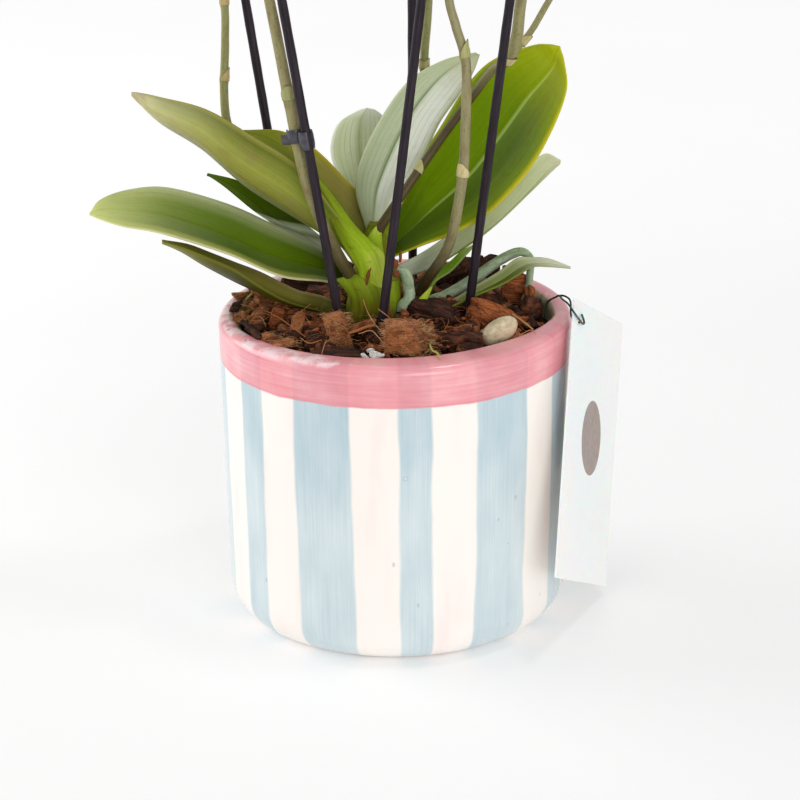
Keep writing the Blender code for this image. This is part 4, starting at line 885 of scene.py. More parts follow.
def bark_material():
    g = Graph("bark_chips", roughness=0.85, specular=0.2)
    grain = g.attribute("grain")
    tone = g.attribute("tone")
    fibre = g.noise(g.scaled(grain, (0.09, 0.85, 0.85)), 1.0, 5.0, 0.65, 0.3)
    lump = g.noise(grain, 0.16, 4.0, 0.6)
    fine = g.noise(g.scaled(grain, (0.5, 2.6, 2.6)), 1.0, 3.0, 0.6)
    shade = g.math("ADD", g.math("MULTIPLY", fibre, 0.5), g.math("ADD", g.math("MULTIPLY", lump, 0.32), g.math("MULTIPLY", fine, 0.18)))
    dark = g.ramp(shade, [(0.32, (22, 12, 9)), (0.48, (56, 32, 24)), (0.6, (92, 56, 42)), (0.76, (138, 98, 80))])
    warm = g.ramp(shade, [(0.3, (60, 28, 14)), (0.45, (136, 74, 40)), (0.58, (186, 108, 62)), (0.76, (222, 152, 98))])
    blend = g.smooth(g.math("ADD", tone, g.math("MULTIPLY", g.math("SUBTRACT", lump, 0.5), 0.6)), 0.2, 0.7)
    body = g.mix(blend, dark, warm)
    pale = g.smooth(g.noise(grain, 0.5, 4.0, 0.65), 0.6, 0.74, 0.0, 0.4)
    body = g.mix(pale, body, (186, 148, 124))
    crack = g.cells(g.scaled(grain, (0.12, 0.5, 0.5)), 1.0, "DISTANCE_TO_EDGE")
    body = g.mix(g.smooth(crack, 0.06, 0.0, 0.0, 0.4), body, (28, 14, 9))
    height = g.math("ADD", fibre, g.math("ADD", g.math("MULTIPLY", fine, 0.4), g.smooth(crack, 0.0, 0.1, 0.0, 0.5)))
    return g.finish(body, None, g.bump(height, 0.8, 0.9))


def husk_material():
    g = Graph("coco_husk", roughness=0.92, specular=0.12, sheen=0.1)
    grain = g.attribute("grain")
    tone = g.attribute("tone")
    hair = g.noise(g.scaled(grain, (0.5, 0.9, 2.4)), 1.0, 5.0, 0.7, 1.2)
    lump = g.noise(grain, 0.2, 4.0, 0.6)
    fine = g.noise(grain, 2.4, 4.0, 0.7)
    shade = g.math("ADD", g.math("MULTIPLY", hair, 0.45), g.math("ADD", g.math("MULTIPLY", lump, 0.3), g.math("MULTIPLY", fine, 0.25)))
    body = g.ramp(shade, [(0.36, (44, 20, 8)), (0.45, (130, 72, 36)), (0.52, (194, 120, 68)), (0.64, (232, 174, 120))])
    body = g.mix(g.smooth(tone, 0.7, 0.2, 0.0, 0.8), body, g.mix(1.0, body, (120, 96, 92), "MULTIPLY"))
    height = g.math("ADD", hair, g.math("MULTIPLY", fine, 0.8))
    return g.finish(body, None, g.bump(height, 0.9, 1.0))


def dust_and_shade_material():
    g = Graph("bark_dust_and_shade", roughness=0.95, specular=0.1)
    place = g.place()
    shade = g.math("ADD", g.math("MULTIPLY", g.noise(place, 0.3, 5.0, 0.7), 0.6), g.math("MULTIPLY", g.noise(place, 1.3, 4.0, 0.7), 0.4))
    # Very dark browns: bark dust, and also painted shade in the gaps between the chips.
    body = g.ramp(shade, [(0.38, (14, 7, 5)), (0.52, (48, 26, 16)), (0.66, (112, 66, 40))])
    return g.finish(body, None, g.bump(shade, 1.0, 2.0))


def fibre_material():
    g = Graph("fibres", roughness=0.75, specular=0.2)
    tone = g.attribute("tone")
    grain = g.attribute("grain")
    body = g.ramp(tone, [(0.0, (104, 56, 28)), (0.35, (176, 108, 62)), (0.7, (210, 158, 108)), (0.85, (226, 196, 150)),
                         (1.0, (176, 184, 96))])
    body = g.mix(g.math("MULTIPLY", g.noise(grain, 0.6, 3.0), 0.45), body, g.mix(1.0, body, (150, 120, 100), "MULTIPLY"))
    return g.finish(body, None, g.bump(g.noise(grain, 2.0, 2.0), 0.2, 0.05))


def pebble_material():
    g = Graph("pebble_stone", roughness=0.5, coat=0.15, coat_roughness=0.3)
    grain = g.attribute("grain")
    cloud = g.noise(grain, 0.35, 4.0, 0.6)
    body = g.ramp(cloud, [(0.3, (176, 156, 118)), (0.5, (206, 190, 156)), (0.7, (222, 210, 182))])
    speck = g.cells(grain, 1.3)
    body = g.mix(g.smooth(speck, 0.2, 0.05, 0.0, 0.5), body, (140, 104, 74))
    return g.finish(body, None, g.bump(g.noise(grain, 1.2, 4.0), 0.3, 0.3))


def perlite_material():
    g = Graph("perlite", roughness=0.8)
    grain = g.attribute("grain")
    cloud = g.noise(grain, 0.8, 4.0, 0.6)
    body = g.ramp(cloud, [(0.3, (150, 142, 136)), (0.5, (214, 210, 204)), (0.7, (246, 244, 240))])
    return g.finish(body, None, g.bump(g.noise(grain, 1.6, 4.0, 0.7), 0.8, 0.6))


def root_material():
    g = Graph("root_skin", roughness=0.5, specular=0.3)
    grain = g.attribute("grain")
    tone = g.attribute("tone")
    cloud = g.noise(g.scaled(grain, (0.5, 0.5, 0.16)), 1.0, 4.0, 0.6)
    silver = g.ramp(cloud, [(0.3, (126, 146, 104)), (0.5, (160, 180, 146)), (0.7, (196, 208, 184))])
    body = g.mix(tone, silver, (96, 122, 60))
    speck = g.cells(g.scaled(grain, (1.6, 1.6, 1.1)), 1.0)
    body = g.mix(g.smooth(speck, 0.32, 0.12, 0.0, 0.45), body, (214, 222, 204))
    body = g.mix(g.smooth(g.noise(grain, 1.1, 3.0), 0.58, 0.7, 0.0, 0.55), body, (104, 118, 78))
    return g.finish(body, None, g.bump(g.noise(grain, 1.4, 4.0), 0.35, 0.2))


def card_material():
    g = Graph("card_stock", roughness=0.72, specular=0.2, scatter=0.8)
    u, v, _ = g.split(g.node("ShaderNodeTexCoord").outputs["UV"])
    grain = g.attribute("grain")
    cloud = g.noise(grain, 0.05, 3.0)
    body = g.ramp(cloud, [(0.3, (253, 250, 246)), (0.7, (255, 254, 251))])
    dx = g.math("MULTIPLY", g.math("SUBTRACT", u, 0.5), 85.0)
    dy = g.math("MULTIPLY", g.math("SUBTRACT", v, 0.47), 116.5)
    reach = g.math("SQRT", g.math("ADD", g.math("MULTIPLY", dx, dx), g.math("MULTIPLY", dy, dy)))
    disc = g.smooth(reach, 16.2, 15.9)
    ink = g.ramp(g.noise(grain, 0.4, 3.0), [(0.3, (152, 138, 132)), (0.7, (166, 152, 146))])
    body = g.mix(disc, body, ink)
    weave = g.noise(grain, 1.6, 4.0, 0.7)
    return g.finish(body, None, g.bump(weave, 0.15, 0.06))


def wire_material():
    g = Graph("wire_coating", roughness=0.4, specular=0.4)
    grain = g.attribute("grain")
    cloud = g.noise(grain, 0.7, 3.0)
    body = g.ramp(cloud, [(0.3, (14, 40, 30)), (0.7, (30, 62, 48))])
    return g.finish(body, None, g.bump(cloud, 0.2, 0.05))


def petal_material():
    g = Graph("petal_skin", roughness=0.55, sheen=0.25, scatter=0.1)
    u, v, _ = g.split(g.node("ShaderNodeTexCoord").outputs["UV"])
    across = g.math("SUBTRACT", g.math("MULTIPLY", u, 2.0), 1.0)
    body = g.ramp(v, [(0.0, (250, 226, 232)), (0.25, (232, 150, 186)), (0.7, (222, 122, 168)), (0.97, (240, 176, 204))])
    spread = g.math("DIVIDE", across, g.math("ADD", g.math("MULTIPLY", v, 0.7), 0.35))
    veins = g.noise(g.join(g.math("MULTIPLY", spread, 7.0), 0.0, g.math("MULTIPLY", v, 1.6)), 1.0, 3.0, 0.6, 0.5)
    body = g.mix(g.smooth(veins, 0.5, 0.64, 0.0, 0.5), body, (178, 58, 118))
    rim = g.smooth(g.math("ABSOLUTE", across), 0.82, 1.0, 0.0, 0.5)
    body = g.mix(rim, body, (246, 206, 222))
    return g.finish(body, None, g.bump(veins, 0.2, 0.2))


def lip_material():
    g = Graph("lip_skin", roughness=0.5, sheen=0.15)
    u, v, _ = g.split(g.node("ShaderNodeTexCoord").outputs["UV"])
    grain = g.attribute("grain")
    body = g.ramp(v, [(0.0, (248, 214, 120)), (0.16, (226, 130, 120)), (0.35, (176, 26, 96)), (1.0, (150, 14, 84))])
    freckle = g.cells(grain, 1.2)
    body = g.mix(g.math("MULTIPLY", g.smooth(freckle, 0.3, 0.12), g.smooth(v, 0.4, 0.1)), body, (140, 20, 60))
    return g.finish(body, None, g.bump(g.noise(grain, 0.9, 3.0), 0.3, 0.2))


def floor_material():
    """Pale floor that grows lighter towards the back, as in an evenly lit studio."""
    g = Graph("pale_floor", roughness=0.6, specular=0.15)
    cloud = g.noise(g.place(), 0.004, 3.0)
    body = g.mix(g.smooth(cloud, 0.3, 0.7, 0.0, 0.04), FLOOR_COLOUR, (255, 255, 255))
    _, y, _ = g.split(g.place())
    glow = g.ramp(g.smooth(y, -300.0, 1500.0), FLOOR_GLOW)
    g.put(g.shader.inputs["Emission Color"], glow)
    g.shader.inputs["Emission Strength"].default_value = 1.0
    return g.finish(body)


# Pot

def arc(centre, radius, start, end, count):
    points = []
    for i in range(count):
        angle = math.radians(start + (end - start) * i / (count - 1))
        points.append((centre[0] + radius * math.cos(angle), centre[1] + radius * math.sin(angle)))
    return points


def run(start, end, count):
    return [(start[0] + (end[0] - start[0]) * i / count, start[1] + (end[1] - start[1]) * i / count) for i in range(count)]


def lip_width(angle):
    """How much farther the lip reaches inwards, by the angle round the pot in degrees."""
    off = (angle - 27.0 + 180.0) % 360.0 - 180.0
    reach = 57.0 if off > 0.0 else 100.0
    return 8.4 * math.cos(math.radians(90.0 * min(1.0, abs(off) / reach)))


def smooth_step(value, low, high):
    t = min(1.0, max(0.0, (value - low) / (high - low)))
    return t * t * (3.0 - 2.0 * t)


def make_pot():
    top = POT_HEIGHT - POT_LIP
    inner_foot = 64.5
    inside = run((0.0, 7.0), (inner_foot - 8.0, 7.0), 6) + arc((inner_foot - 8.0, 15.0), 8.0, -90, 0, 8)
    wall_in = run((inner_foot, 15.5), (POT_INNER_RADIUS, top - 0.5), 24)
    lip_in = arc((POT_INNER_RADIUS + POT_LIP, top), POT_LIP, 180, 90, 9)
    lip_out = arc((POT_RADIUS - POT_LIP, top), POT_LIP, 90, 0, 9)
    wall_out = run((POT_RADIUS, top - 0.5), (POT_FOOT_RADIUS, POT_CORNER + 0.5), 44)
    corner = arc((POT_FOOT_RADIUS - POT_CORNER, POT_CORNER), POT_CORNER, 0, -90, 18)
    profile = inside + wall_in + lip_in + lip_out + wall_out + corner + [(30.0, 0.0), (0.0, 0.0)]
    inner_count = len(inside) + len(wall_in) + len(lip_in) - 3
    steps = 192
    verts, faces, tones, rows = [], [], [], []
    for order, (radius, height) in enumerate(profile):
        count = 1 if radius < 1e-6 else steps
        rows.append((len(verts), count))
        tones += [1.0 if order < inner_count else 0.0] * count
        if count == 1:
            verts.append((0.0, 0.0, height))
            continue
        for k in range(steps):
            a = 2.0 * math.pi * k / steps
            wobble = 0.22 * noise.noise(Vector((math.cos(a) * 1.6, math.sin(a) * 1.6, height * 0.018)))
            r = radius + (wobble if height > 1.0 else 0.0)
            if order < len(inside) + len(wall_in) + len(lip_in):
                r -= lip_width(math.degrees(a)) * smooth_step(height, 118.0, 129.0)
            verts.append((r * math.sin(a), -r * math.cos(a), height))
    for (a, na), (b, nb) in zip(rows, rows[1:]):
        for k in range(steps):
            m = (k + 1) % steps
            if na == 1:
                faces.append((a, b + k, b + m))
            elif nb == 1:
                faces.append((a + k, b, a + m))
            else:
                faces.append((a + k, b + k, b + m, a + m))
    bag = Bag()
    bag.add(verts, faces, None, tones)
    obj = bag.object("striped_pot", [glaze_material()])
    flip_if_inward(obj)
    settle(obj, "glaze", "pot")


def flip_if_inward(obj):
    bm = bmesh.new()
    bm.from_mesh(obj.data)
    if bm.calc_volume(signed=True) < 0.0:
        bmesh.ops.reverse_faces(bm, faces=bm.faces)
        bm.to_mesh(obj.data)
    bm.free()


# Potting medium

def bark_height(radius):
    return BARK_EDGE + (BARK_CROWN - BARK_EDGE) * (1.0 - min(1.0, radius / POT_INNER_RADIUS) ** 2.5)


def cube_sphere(cuts):
    bm = bmesh.new()
    bmesh.ops.create_cube(bm, size=2.0)
    bmesh.ops.subdivide_edges(bm, edges=bm.edges, cuts=cuts, use_grid_fill=True)
    verts = [v.co.copy() for v in bm.verts]
    faces = [tuple(v.index for v in f.verts) for f in bm.faces]
    bm.free()
    return verts, faces


CHIP_FINE = cube_sphere(11)
CHIP_MEDIUM = cube_sphere(6)
CHIP_SMALL = cube_sphere(3)


def chip_shape(size, rng, base, planes=6, rough=0.5, rounding=0.35, ridges=1.0):
    """Irregular chunk about its own centre: a block with drawn-in corners, sliced flat here and there and ridged along its length."""
    verts0, faces = base
    half = Vector(size) * 0.5
    slices = []
    for _ in range(planes):
        normal = Vector((rng.uniform(-1, 1) * 0.8, rng.uniform(-1, 1), rng.uniform(-1, 1))).normalized()
        slices.append((normal, rng.uniform(0.62, 0.9)))
    seed = Vector((rng.uniform(-90, 90), rng.uniform(-90, 90), rng.uniform(-90, 90)))
    verts = []
    for v in verts0:
        p = v.lerp(v.normalized() * 1.25, rounding)
        for normal, reach in slices:
            over = p.dot(normal) - reach
            if over > 0.0:
                p = p - normal * over
        q = Vector((p.x * half.x, p.y * half.y, p.z * half.z))
        out = q.normalized()
        ridge = noise.noise(Vector((q.x * 0.10, q.y * 0.55, q.z * 0.55)) + seed)
        bump = noise.noise(q * 0.28 + seed * 1.7)
        fine = noise.noise(Vector((q.x * 0.4, q.y * 1.6, q.z * 1.6)) + seed * 0.3)
        q += out * (rough * (bump * 1.2 + fine * 0.45) + ridges * ridge * 0.9)
        verts.append(q)
    return verts, faces, seed


def placed(verts, centre, turn, tilt, lean=0.0):
    spin = (Matrix.Rotation(math.radians(turn), 4, "Z") @ Matrix.Rotation(math.radians(tilt), 4, "Y")
            @ Matrix.Rotation(math.radians(lean), 4, "X"))
    at = Vector(centre)
    return [spin @ v + at for v in verts]


def add_chip(bag, size, centre, turn, tilt, lean, tone, rng, base, slot=0, **shape):
    verts, faces, seed = chip_shape(size, rng, base, **shape)
    bag.add(placed(verts, centre, turn, tilt, lean), faces, [v + seed * 3.0 for v in verts], tone, slot)


def keep_clear():
    """Spots on the heap that stems, stakes, roots, leaves and placed pieces take up."""
    spots = [(-11, -5, 14.5)]
    for low, high, _ in STAKES.values():
        slope = (Vector(high) - Vector(low)) / (high[2] - low[2])
        foot = Vector(low) + slope * (134.0 - low[2])
        spots.append((foot.x, foot.y, 4.0))
    for size, centre, *_ in list(CHUNKS.values()) + [PEBBLE]:
        spots.append((centre[0], centre[1], 0.42 * max(size[0], size[1])))
    spots += [(9, -1, 4.5), (16, 8, 5.0), (58, 18, 4.0), (3, -13, 4.0), (13, 19, 5.0), (16, -3, 5.0), (-24, -8, 6.0)]
    return spots


def add_fibre(bag, start, heading, length, radius, curl, rise, tone, rng, sides=4, count=13):
    """Thin strand that wanders off from its start."""
    points = []
    p = Vector(start)
    angle, lift = heading, rise
    last = count - 1
    for i in range(count):
        points.append(p.copy())
        p = p + Vector((math.cos(angle), math.sin(angle), lift)) * (length / last)
        angle += curl / last + rng.uniform(-0.12, 0.12)
        lift += rng.uniform(-0.16, 0.14) - rise * 1.3 / last
    radii = [radius * (1.0 - 0.75 * (i / last) ** 2) for i in range(count)]
    verts, faces, grain = tube_shape(points, radii, sides)
    bag.add(verts, faces, grain, tone)


def add_hairs(bag, size, centre, turn, count, rng):
    """Short hairs that stand off the top and sides of a block of husk."""
    spin = Matrix.Rotation(math.radians(turn), 4, "Z")
    half = Vector(size) * 0.5
    for _ in range(count):
        out = Vector((rng.uniform(-1, 1), rng.uniform(-1, 1), rng.uniform(-0.5, 1)))
        scale = max(abs(out.x), abs(out.y), abs(out.z))
        foot = Vector((out.x * half.x, out.y * half.y, out.z * half.z)) / scale * 0.93
        heading = math.atan2(out.y, out.x) + rng.uniform(-1.3, 1.3) + math.radians(turn)
        add_fibre(bag, spin @ foot + Vector(centre), heading, rng.uniform(2.0, 5.0), rng.uniform(0.07, 0.14),
                  rng.uniform(-4.0, 4.0), rng.uniform(-0.8, 0.5), rng.uniform(0.1, 0.95), rng, 3, 7)


def make_dust(dust_and_shade):
    """Dark bark dust under the chips, which is also painted shade in the gaps between them, with a skirt down into the
    pot.
    """
    bag = Bag()
    rings, steps = 30, 96
    verts, faces = [(0.0, 0.0, bark_height(0.0) - 3.0)], []
    for i in range(1, rings + 1):
        for k in range(steps):
            a = 2.0 * math.pi * k / steps
            reach = (66.2 - lip_width(math.degrees(a) + 90.0)) * i / rings
            x, y = reach * math.cos(a), reach * math.sin(a)
            lift = 1.6 * noise.noise(Vector((x * 0.13, y * 0.13, 2.0))) + 0.8 * noise.noise(Vector((x * 0.5, y * 0.5, 7.0)))
            verts.append((x, y, bark_height(reach) - 3.0 + lift))
    for k in range(steps):
        faces.append((0, 1 + k, 1 + (k + 1) % steps))
    for i in range(rings - 1):
        a, b = 1 + i * steps, 1 + (i + 1) * steps
        for k in range(steps):
            m = (k + 1) % steps
            faces.append((a + k, b + k, b + m, a + m))
    skirt, rim = len(verts), 1 + (rings - 1) * steps
    for k in range(steps):
        x, y, _ = verts[rim + k]
        verts.append((x, y, 100.0))
        m = (k + 1) % steps
        faces.append((rim + k, skirt + k, skirt + m, rim + m))
    bag.add(verts, faces)
    settle(bag.object("bark_dust_and_shade", [dust_and_shade]), "bark", "potting_bark")


def heap_spot(rng, reach):
    """Random spot on the heap, and how far the pot's inner wall is in that direction."""
    a = rng.uniform(0.0, 2.0 * math.pi)
    wall = POT_INNER_RADIUS - lip_width(math.degrees(a) + 90.0)
    r = min(reach, wall - 3.0) * math.sqrt(rng.random())
    return r, a, wall


def make_chips(bark, husk, rng):
    """Chips that the photo shows, then hundreds of others between them, then crumbs of bark."""
    shown = Bag()
    for size, centre, turn, tilt, lean, tone in PLACED_CHIPS:
        add_chip(shown, size, centre, turn, tilt, lean, tone, rng, CHIP_FINE, 1 if 0.55 < tone < 0.78 else 0)
    settle(shown.object("bark_top_chips", [bark, husk], sharp=50), "bark")
    chips = Bag()
    spots = keep_clear() + [(c[0], c[1], 0.3 * max(s[0], s[1])) for s, c, *_ in PLACED_CHIPS]
    laid = []
    for _ in range(6000):
        r, a, wall = heap_spot(rng, 62.0)
        x, y = r * math.cos(a), r * math.sin(a)
        long, wide, thick = rng.uniform(7, 16), rng.uniform(5, 9), rng.uniform(3.5, 6.5)
        turn, tilt, lean = rng.uniform(0, 360), rng.uniform(-26, 26), rng.uniform(-26, 26)
        reach = r + 0.5 * abs(long * math.cos(math.radians(turn) - a)) + 1.5
        if reach > wall - 1.0 or any(math.hypot(x - sx, y - sy) < sr + 0.32 * long for sx, sy, sr in spots):
            continue
        low = sum(math.hypot(x - lx, y - ly) < 5.0 for lx, ly in laid)
        if low > 2:
            continue
        laid.append((x, y))
        tone = rng.choice((0.05, 0.15, 0.25, 0.35, 0.5, 0.6, 0.7, 0.85))
        place = (x, y, bark_height(r) - 2.6 + low)
        slot = 1 if 0.55 < tone < 0.78 else 0
        add_chip(chips, (long, wide, thick), place, turn, tilt, lean, tone, rng, CHIP_MEDIUM, slot)
        if len(laid) == 230:
            break
    settle(chips.object("bark_chips", [bark, husk], sharp=50), "bark")
    crumbs = Bag()
    for _ in range(420):
        r, a, _ = heap_spot(rng, 64.0)
        x, y = r * math.cos(a), r * math.sin(a)
        if math.hypot(x + 11, y + 5) < 14:
            continue
        size = (rng.uniform(1.6, 4.6), rng.uniform(1.2, 2.8), rng.uniform(0.8, 2.0))
        place = (x, y, bark_height(r) + rng.uniform(-1.0, 1.4))
        turn, tilt = rng.uniform(0, 360), rng.uniform(-30, 30)
        tone = rng.choice((0.1, 0.3, 0.6, 0.9))
        add_chip(crumbs, size, place, turn, tilt, 0.0, tone, rng, CHIP_SMALL, 0, rough=0.3, ridges=0.2)
    settle(crumbs.object("bark_crumbs", [bark], sharp=50), "bark")


def make_fibres(fibre, rng):
    """Loose hairs of husk over the heap, the longer strands of the photo, and the hairs on the husk pieces."""
    loose = Bag()
    for _ in range(420):
        r, a, _ = heap_spot(rng, 60.0)
        x, y = r * math.cos(a), r * math.sin(a)
        if math.hypot(x + 11, y + 5) < 13:
            continue
        inward = math.atan2(-y, -x) + rng.uniform(-1.7, 1.7)
        add_fibre(loose, (x, y, bark_height(r) + rng.uniform(0.0, 2.4)), inward, rng.uniform(3, 12), rng.uniform(0.04, 0.11),
                  rng.uniform(-4.0, 4.0), rng.uniform(0.0, 0.7), rng.uniform(0.0, 0.65), rng)
    for radius, tone, route in STRANDS:
        radii = [radius * (0.55 + 0.45 * math.sin(math.pi * (0.12 + 0.76 * i / 39))) for i in range(40)]
        verts, faces, grain = tube_shape(sampled(route, 40), radii, 8)
        loose.add(verts, faces, grain, tone)
    settle(loose.object("husk_fibres", [fibre]), "husk")
    hairs = Bag()
    for name, count in (("husk_block", 900), ("husk_chip", 420)):
        size, centre, turn, _, _ = CHUNKS[name]
        add_hairs(hairs, size, centre, turn, count, rng)
    for size, centre, turn, _, _, tone in PLACED_CHIPS:
        if 0.55 < tone < 0.78 and centre[2] < 135:
            add_hairs(hairs, size, centre, turn, 110, rng)
    settle(hairs.object("husk_hairs", [fibre]), "husk")


def make_perlite(rng):
    crumbs = Bag()
    for size, centre in PERLITE:
        add_chip(crumbs, size, centre, rng.uniform(0, 360), 10.0, 0.0, 0.5, rng, CHIP_MEDIUM, rough=0.5, rounding=0.7, ridges=0.1)
    settle(crumbs.object("perlite_crumbs", [perlite_material()]), "pebble")


def make_chunks(bark, husk):
    """Loose pieces that stand for solids of the CAD: husk, bark and the pebble."""
    for order, (name, (size, centre, turn, tilt, tone)) in enumerate(CHUNKS.items()):
        piece = Bag()
        rng = random.Random(300 + order)
        if name.startswith("husk"):
            add_chip(piece, size, centre, turn, tilt, 0.0, tone, rng, CHIP_FINE, planes=3, rough=0.55, rounding=0.12, ridges=0.5)
            settle(piece.object(name + "_piece", [husk]), "husk", name)
        else:
            add_chip(piece, size, centre, turn, tilt, 0.0, tone, rng, CHIP_FINE, planes=7, rough=0.6, rounding=0.3, ridges=1.0)
            settle(piece.object(name + "_piece", [bark], sharp=50), name, name)
    size, centre, turn, tilt = PEBBLE
    stone = Bag()
    add_chip(stone, size, centre, turn, tilt, 0.0, 0.5, random.Random(5), CHIP_FINE, planes=0, rough=0.15, rounding=0.92, ridges=0.0)
    settle(stone.object("river_pebble", [pebble_material()]), "pebble", "pebble")


def make_heap():
    bark, husk = bark_material(), husk_material()
    rng = random.Random(21)
    make_dust(dust_and_shade_material())
    make_chips(bark, husk, rng)
    make_fibres(fibre_material(), rng)
    make_perlite(rng)
    make_chunks(bark, husk)


# Leaves and crown

def leaf_rows(spec, along, across):
    """Grid of points on the leaf's middle surface and the way its upper face looks."""
    face, sag_base, sag_tip, _, stations = spec
    edges = [[pair[side] for pair in stations] for side in (0, 1)]
    grid = np.zeros((along, across, 3))
    up = np.zeros((along, 3))
    for i in range(along):
        share = i / (along - 1)
        share = 1.0 - (1.0 - share) ** 1.25
        one, two = [spline_point(edge, share) for edge in edges]
        ahead, behind = min(share + 0.01, 1.0), max(share - 0.01, 0.0)
        tangent = Vector((0.0, 0.0, 0.0))
        for edge in edges:
            tangent += spline_point(edge, ahead) - spline_point(edge, behind)
        half = (two - one) * 0.5
        normal = tangent.cross(half).normalized() * face
        sag = (sag_base + (sag_tip - sag_base) * share) * half.length
        up[i] = normal
        for j in range(across):
            a = 2.0 * j / (across - 1) - 1.0
            grid[i, j] = (one + two) * 0.5 + half * a - normal * sag * (1.0 - abs(a) ** 1.6)
    return grid, up


def blade_shape(spec, along, across, thin_to=0.3, groove_depth=0.55):
    """Thin lens-section blade on a leaf's middle surface, with its grain and UV."""
    thickness = spec[3]
    grid, up = leaf_rows(spec, along, across)
    normal = np.cross(np.gradient(grid, axis=0), np.gradient(grid, axis=1))
    normal /= np.linalg.norm(normal, axis=2, keepdims=True) + 1e-12
    sign = np.sign((normal[:, across // 2] * up).sum(axis=1)).mean()
    normal *= 1.0 if sign >= 0 else -1.0
    a = np.linspace(-1.0, 1.0, across)
    lens = thickness * (thin_to + (1.0 - thin_to) * np.sqrt(np.clip(1.0 - a ** 2, 0.0, 1.0)))
    share = 1.0 - (1.0 - np.linspace(0.0, 1.0, along)) ** 1.25
    taper = 1.0 - 0.45 * share ** 3
    groove = groove_depth * np.exp(-(a / 0.06) ** 2)
    keel = groove_depth * 0.8 * np.exp(-(a / 0.09) ** 2)
    offset = lens[None, :] * taper[:, None] * 0.5
    upper = grid + normal * (offset - groove[None, :] * taper[:, None])[..., None]
    lower = grid - normal * (offset + keel[None, :] * taper[:, None])[..., None]
    lengths = np.concatenate([[0.0], np.cumsum(np.linalg.norm(np.diff(grid[:, across // 2], axis=0), axis=1))])
    widths = np.linalg.norm(grid[:, -1] - grid[:, 0], axis=1)
    verts, uv, grain = [], [], []
    for side, layer in ((0, upper), (1, lower)):
        for i in range(along):
            for j in range(across):
                verts.append(layer[i, j])
                uv.append(((a[j] + 1.0) * 0.5, share[i]))
                grain.append((a[j] * widths[i] * 0.5, side * 9.0, lengths[i]))
    n = along * across
    faces = []
    for i in range(along - 1):
        for j in range(across - 1):
            p = i * across + j
            quad = (p, p + 1, p + across + 1, p + across)
            faces.append(quad)
            faces.append(tuple(reversed([q + n for q in quad])))
    for j in (0, across - 1):
        for i in range(along - 1):
            p = i * across + j
            quad = (p, p + across, p + across + n, p + n)
            faces.append(quad if j == 0 else quad[::-1])
    for i in (0, along - 1):
        for j in range(across - 1):
            p = i * across + j
            quad = (p, p + n, p + 1 + n, p + 1)
            faces.append(quad if i == 0 else quad[::-1])
    return verts, faces, grain, uv


def make_leaf(name, spec, look):
    verts, faces, grain, uv = blade_shape(spec, 84, 25)
    bag = Bag()
    bag.add(verts, faces, grain, 0.5, 0, uv)
    obj = bag.object(name + "_blade", [leaf_material(name + "_skin", look)])
    flip_if_inward(obj)
    settle(obj, "leaf", name)


def make_crown():
    """Green core, the sheaths that wrap it, and dry scraps of old sheath."""
    bag = Bag()
    rings, steps = 60, 64
    verts, faces, grain = [], [], []
    last = len(CROWN_SECTIONS) - 1
    for i in range(rings):
        share = i / (rings - 1)
        place = share * last
        index = min(int(place), last - 1)
        t = place - index
        lower, upper = CROWN_SECTIONS[index], CROWN_SECTIONS[index + 1]
        z, cx, cy, rx, ry = [lower[k] + (upper[k] - lower[k]) * t for k in range(5)]
        for k in range(steps):
            around = 2.0 * math.pi * k / steps
            c, s = math.cos(around), math.sin(around)
            ridge = 0.7 * math.cos(around * 2.0 + z * 0.10) + 0.5 * noise.noise(Vector((c * 3, s * 3, z * 0.08)))
            verts.append((cx + c * (rx + ridge), cy + s * (ry + ridge), z))
            grain.append((c * rx, s * ry, z))
    for i in range(rings - 1):
        for k in range(steps):
            m = (k + 1) % steps
            faces.append((i * steps + k, i * steps + m, (i + 1) * steps + m, (i + 1) * steps + k))
    faces.append(tuple(range(steps))[::-1])
    faces.append(tuple((rings - 1) * steps + k for k in range(steps)))
    bag.add(verts, faces, grain, 0.3)
    for name, (face, sag_foot, sag_tip, thickness, (foot, tip), stations) in SHEATHS.items():
        verts, faces, grain, uv = blade_shape((face, sag_foot, sag_tip, thickness, stations), 48, 21, 0.35, -0.15)
        # The tone also tilts across each sheath, most of all on the column: painted shade on one side and painted light
        # on the other.
        lean = 0.3 if name == "sheath_column" else -0.1
        tones = [foot + (tip - foot) * smooth_step(v, 0.15, 0.85) + lean * (u - 0.6) for u, v in uv]
        bag.add(verts, faces, grain, tones, 0, uv)
    rng = random.Random(8)
    for size, centre, turn, tilt in SCRAPS:
        add_chip(bag, size, centre, turn, tilt, 0.0, 0.12, rng, CHIP_MEDIUM, 1, rough=0.3, rounding=0.4, ridges=0.5)
    settle(bag.object("crown_sheaths", [crown_material(), fibre_material()]), "crown", "crown")


# Stems, blooms, stakes, clips, roots

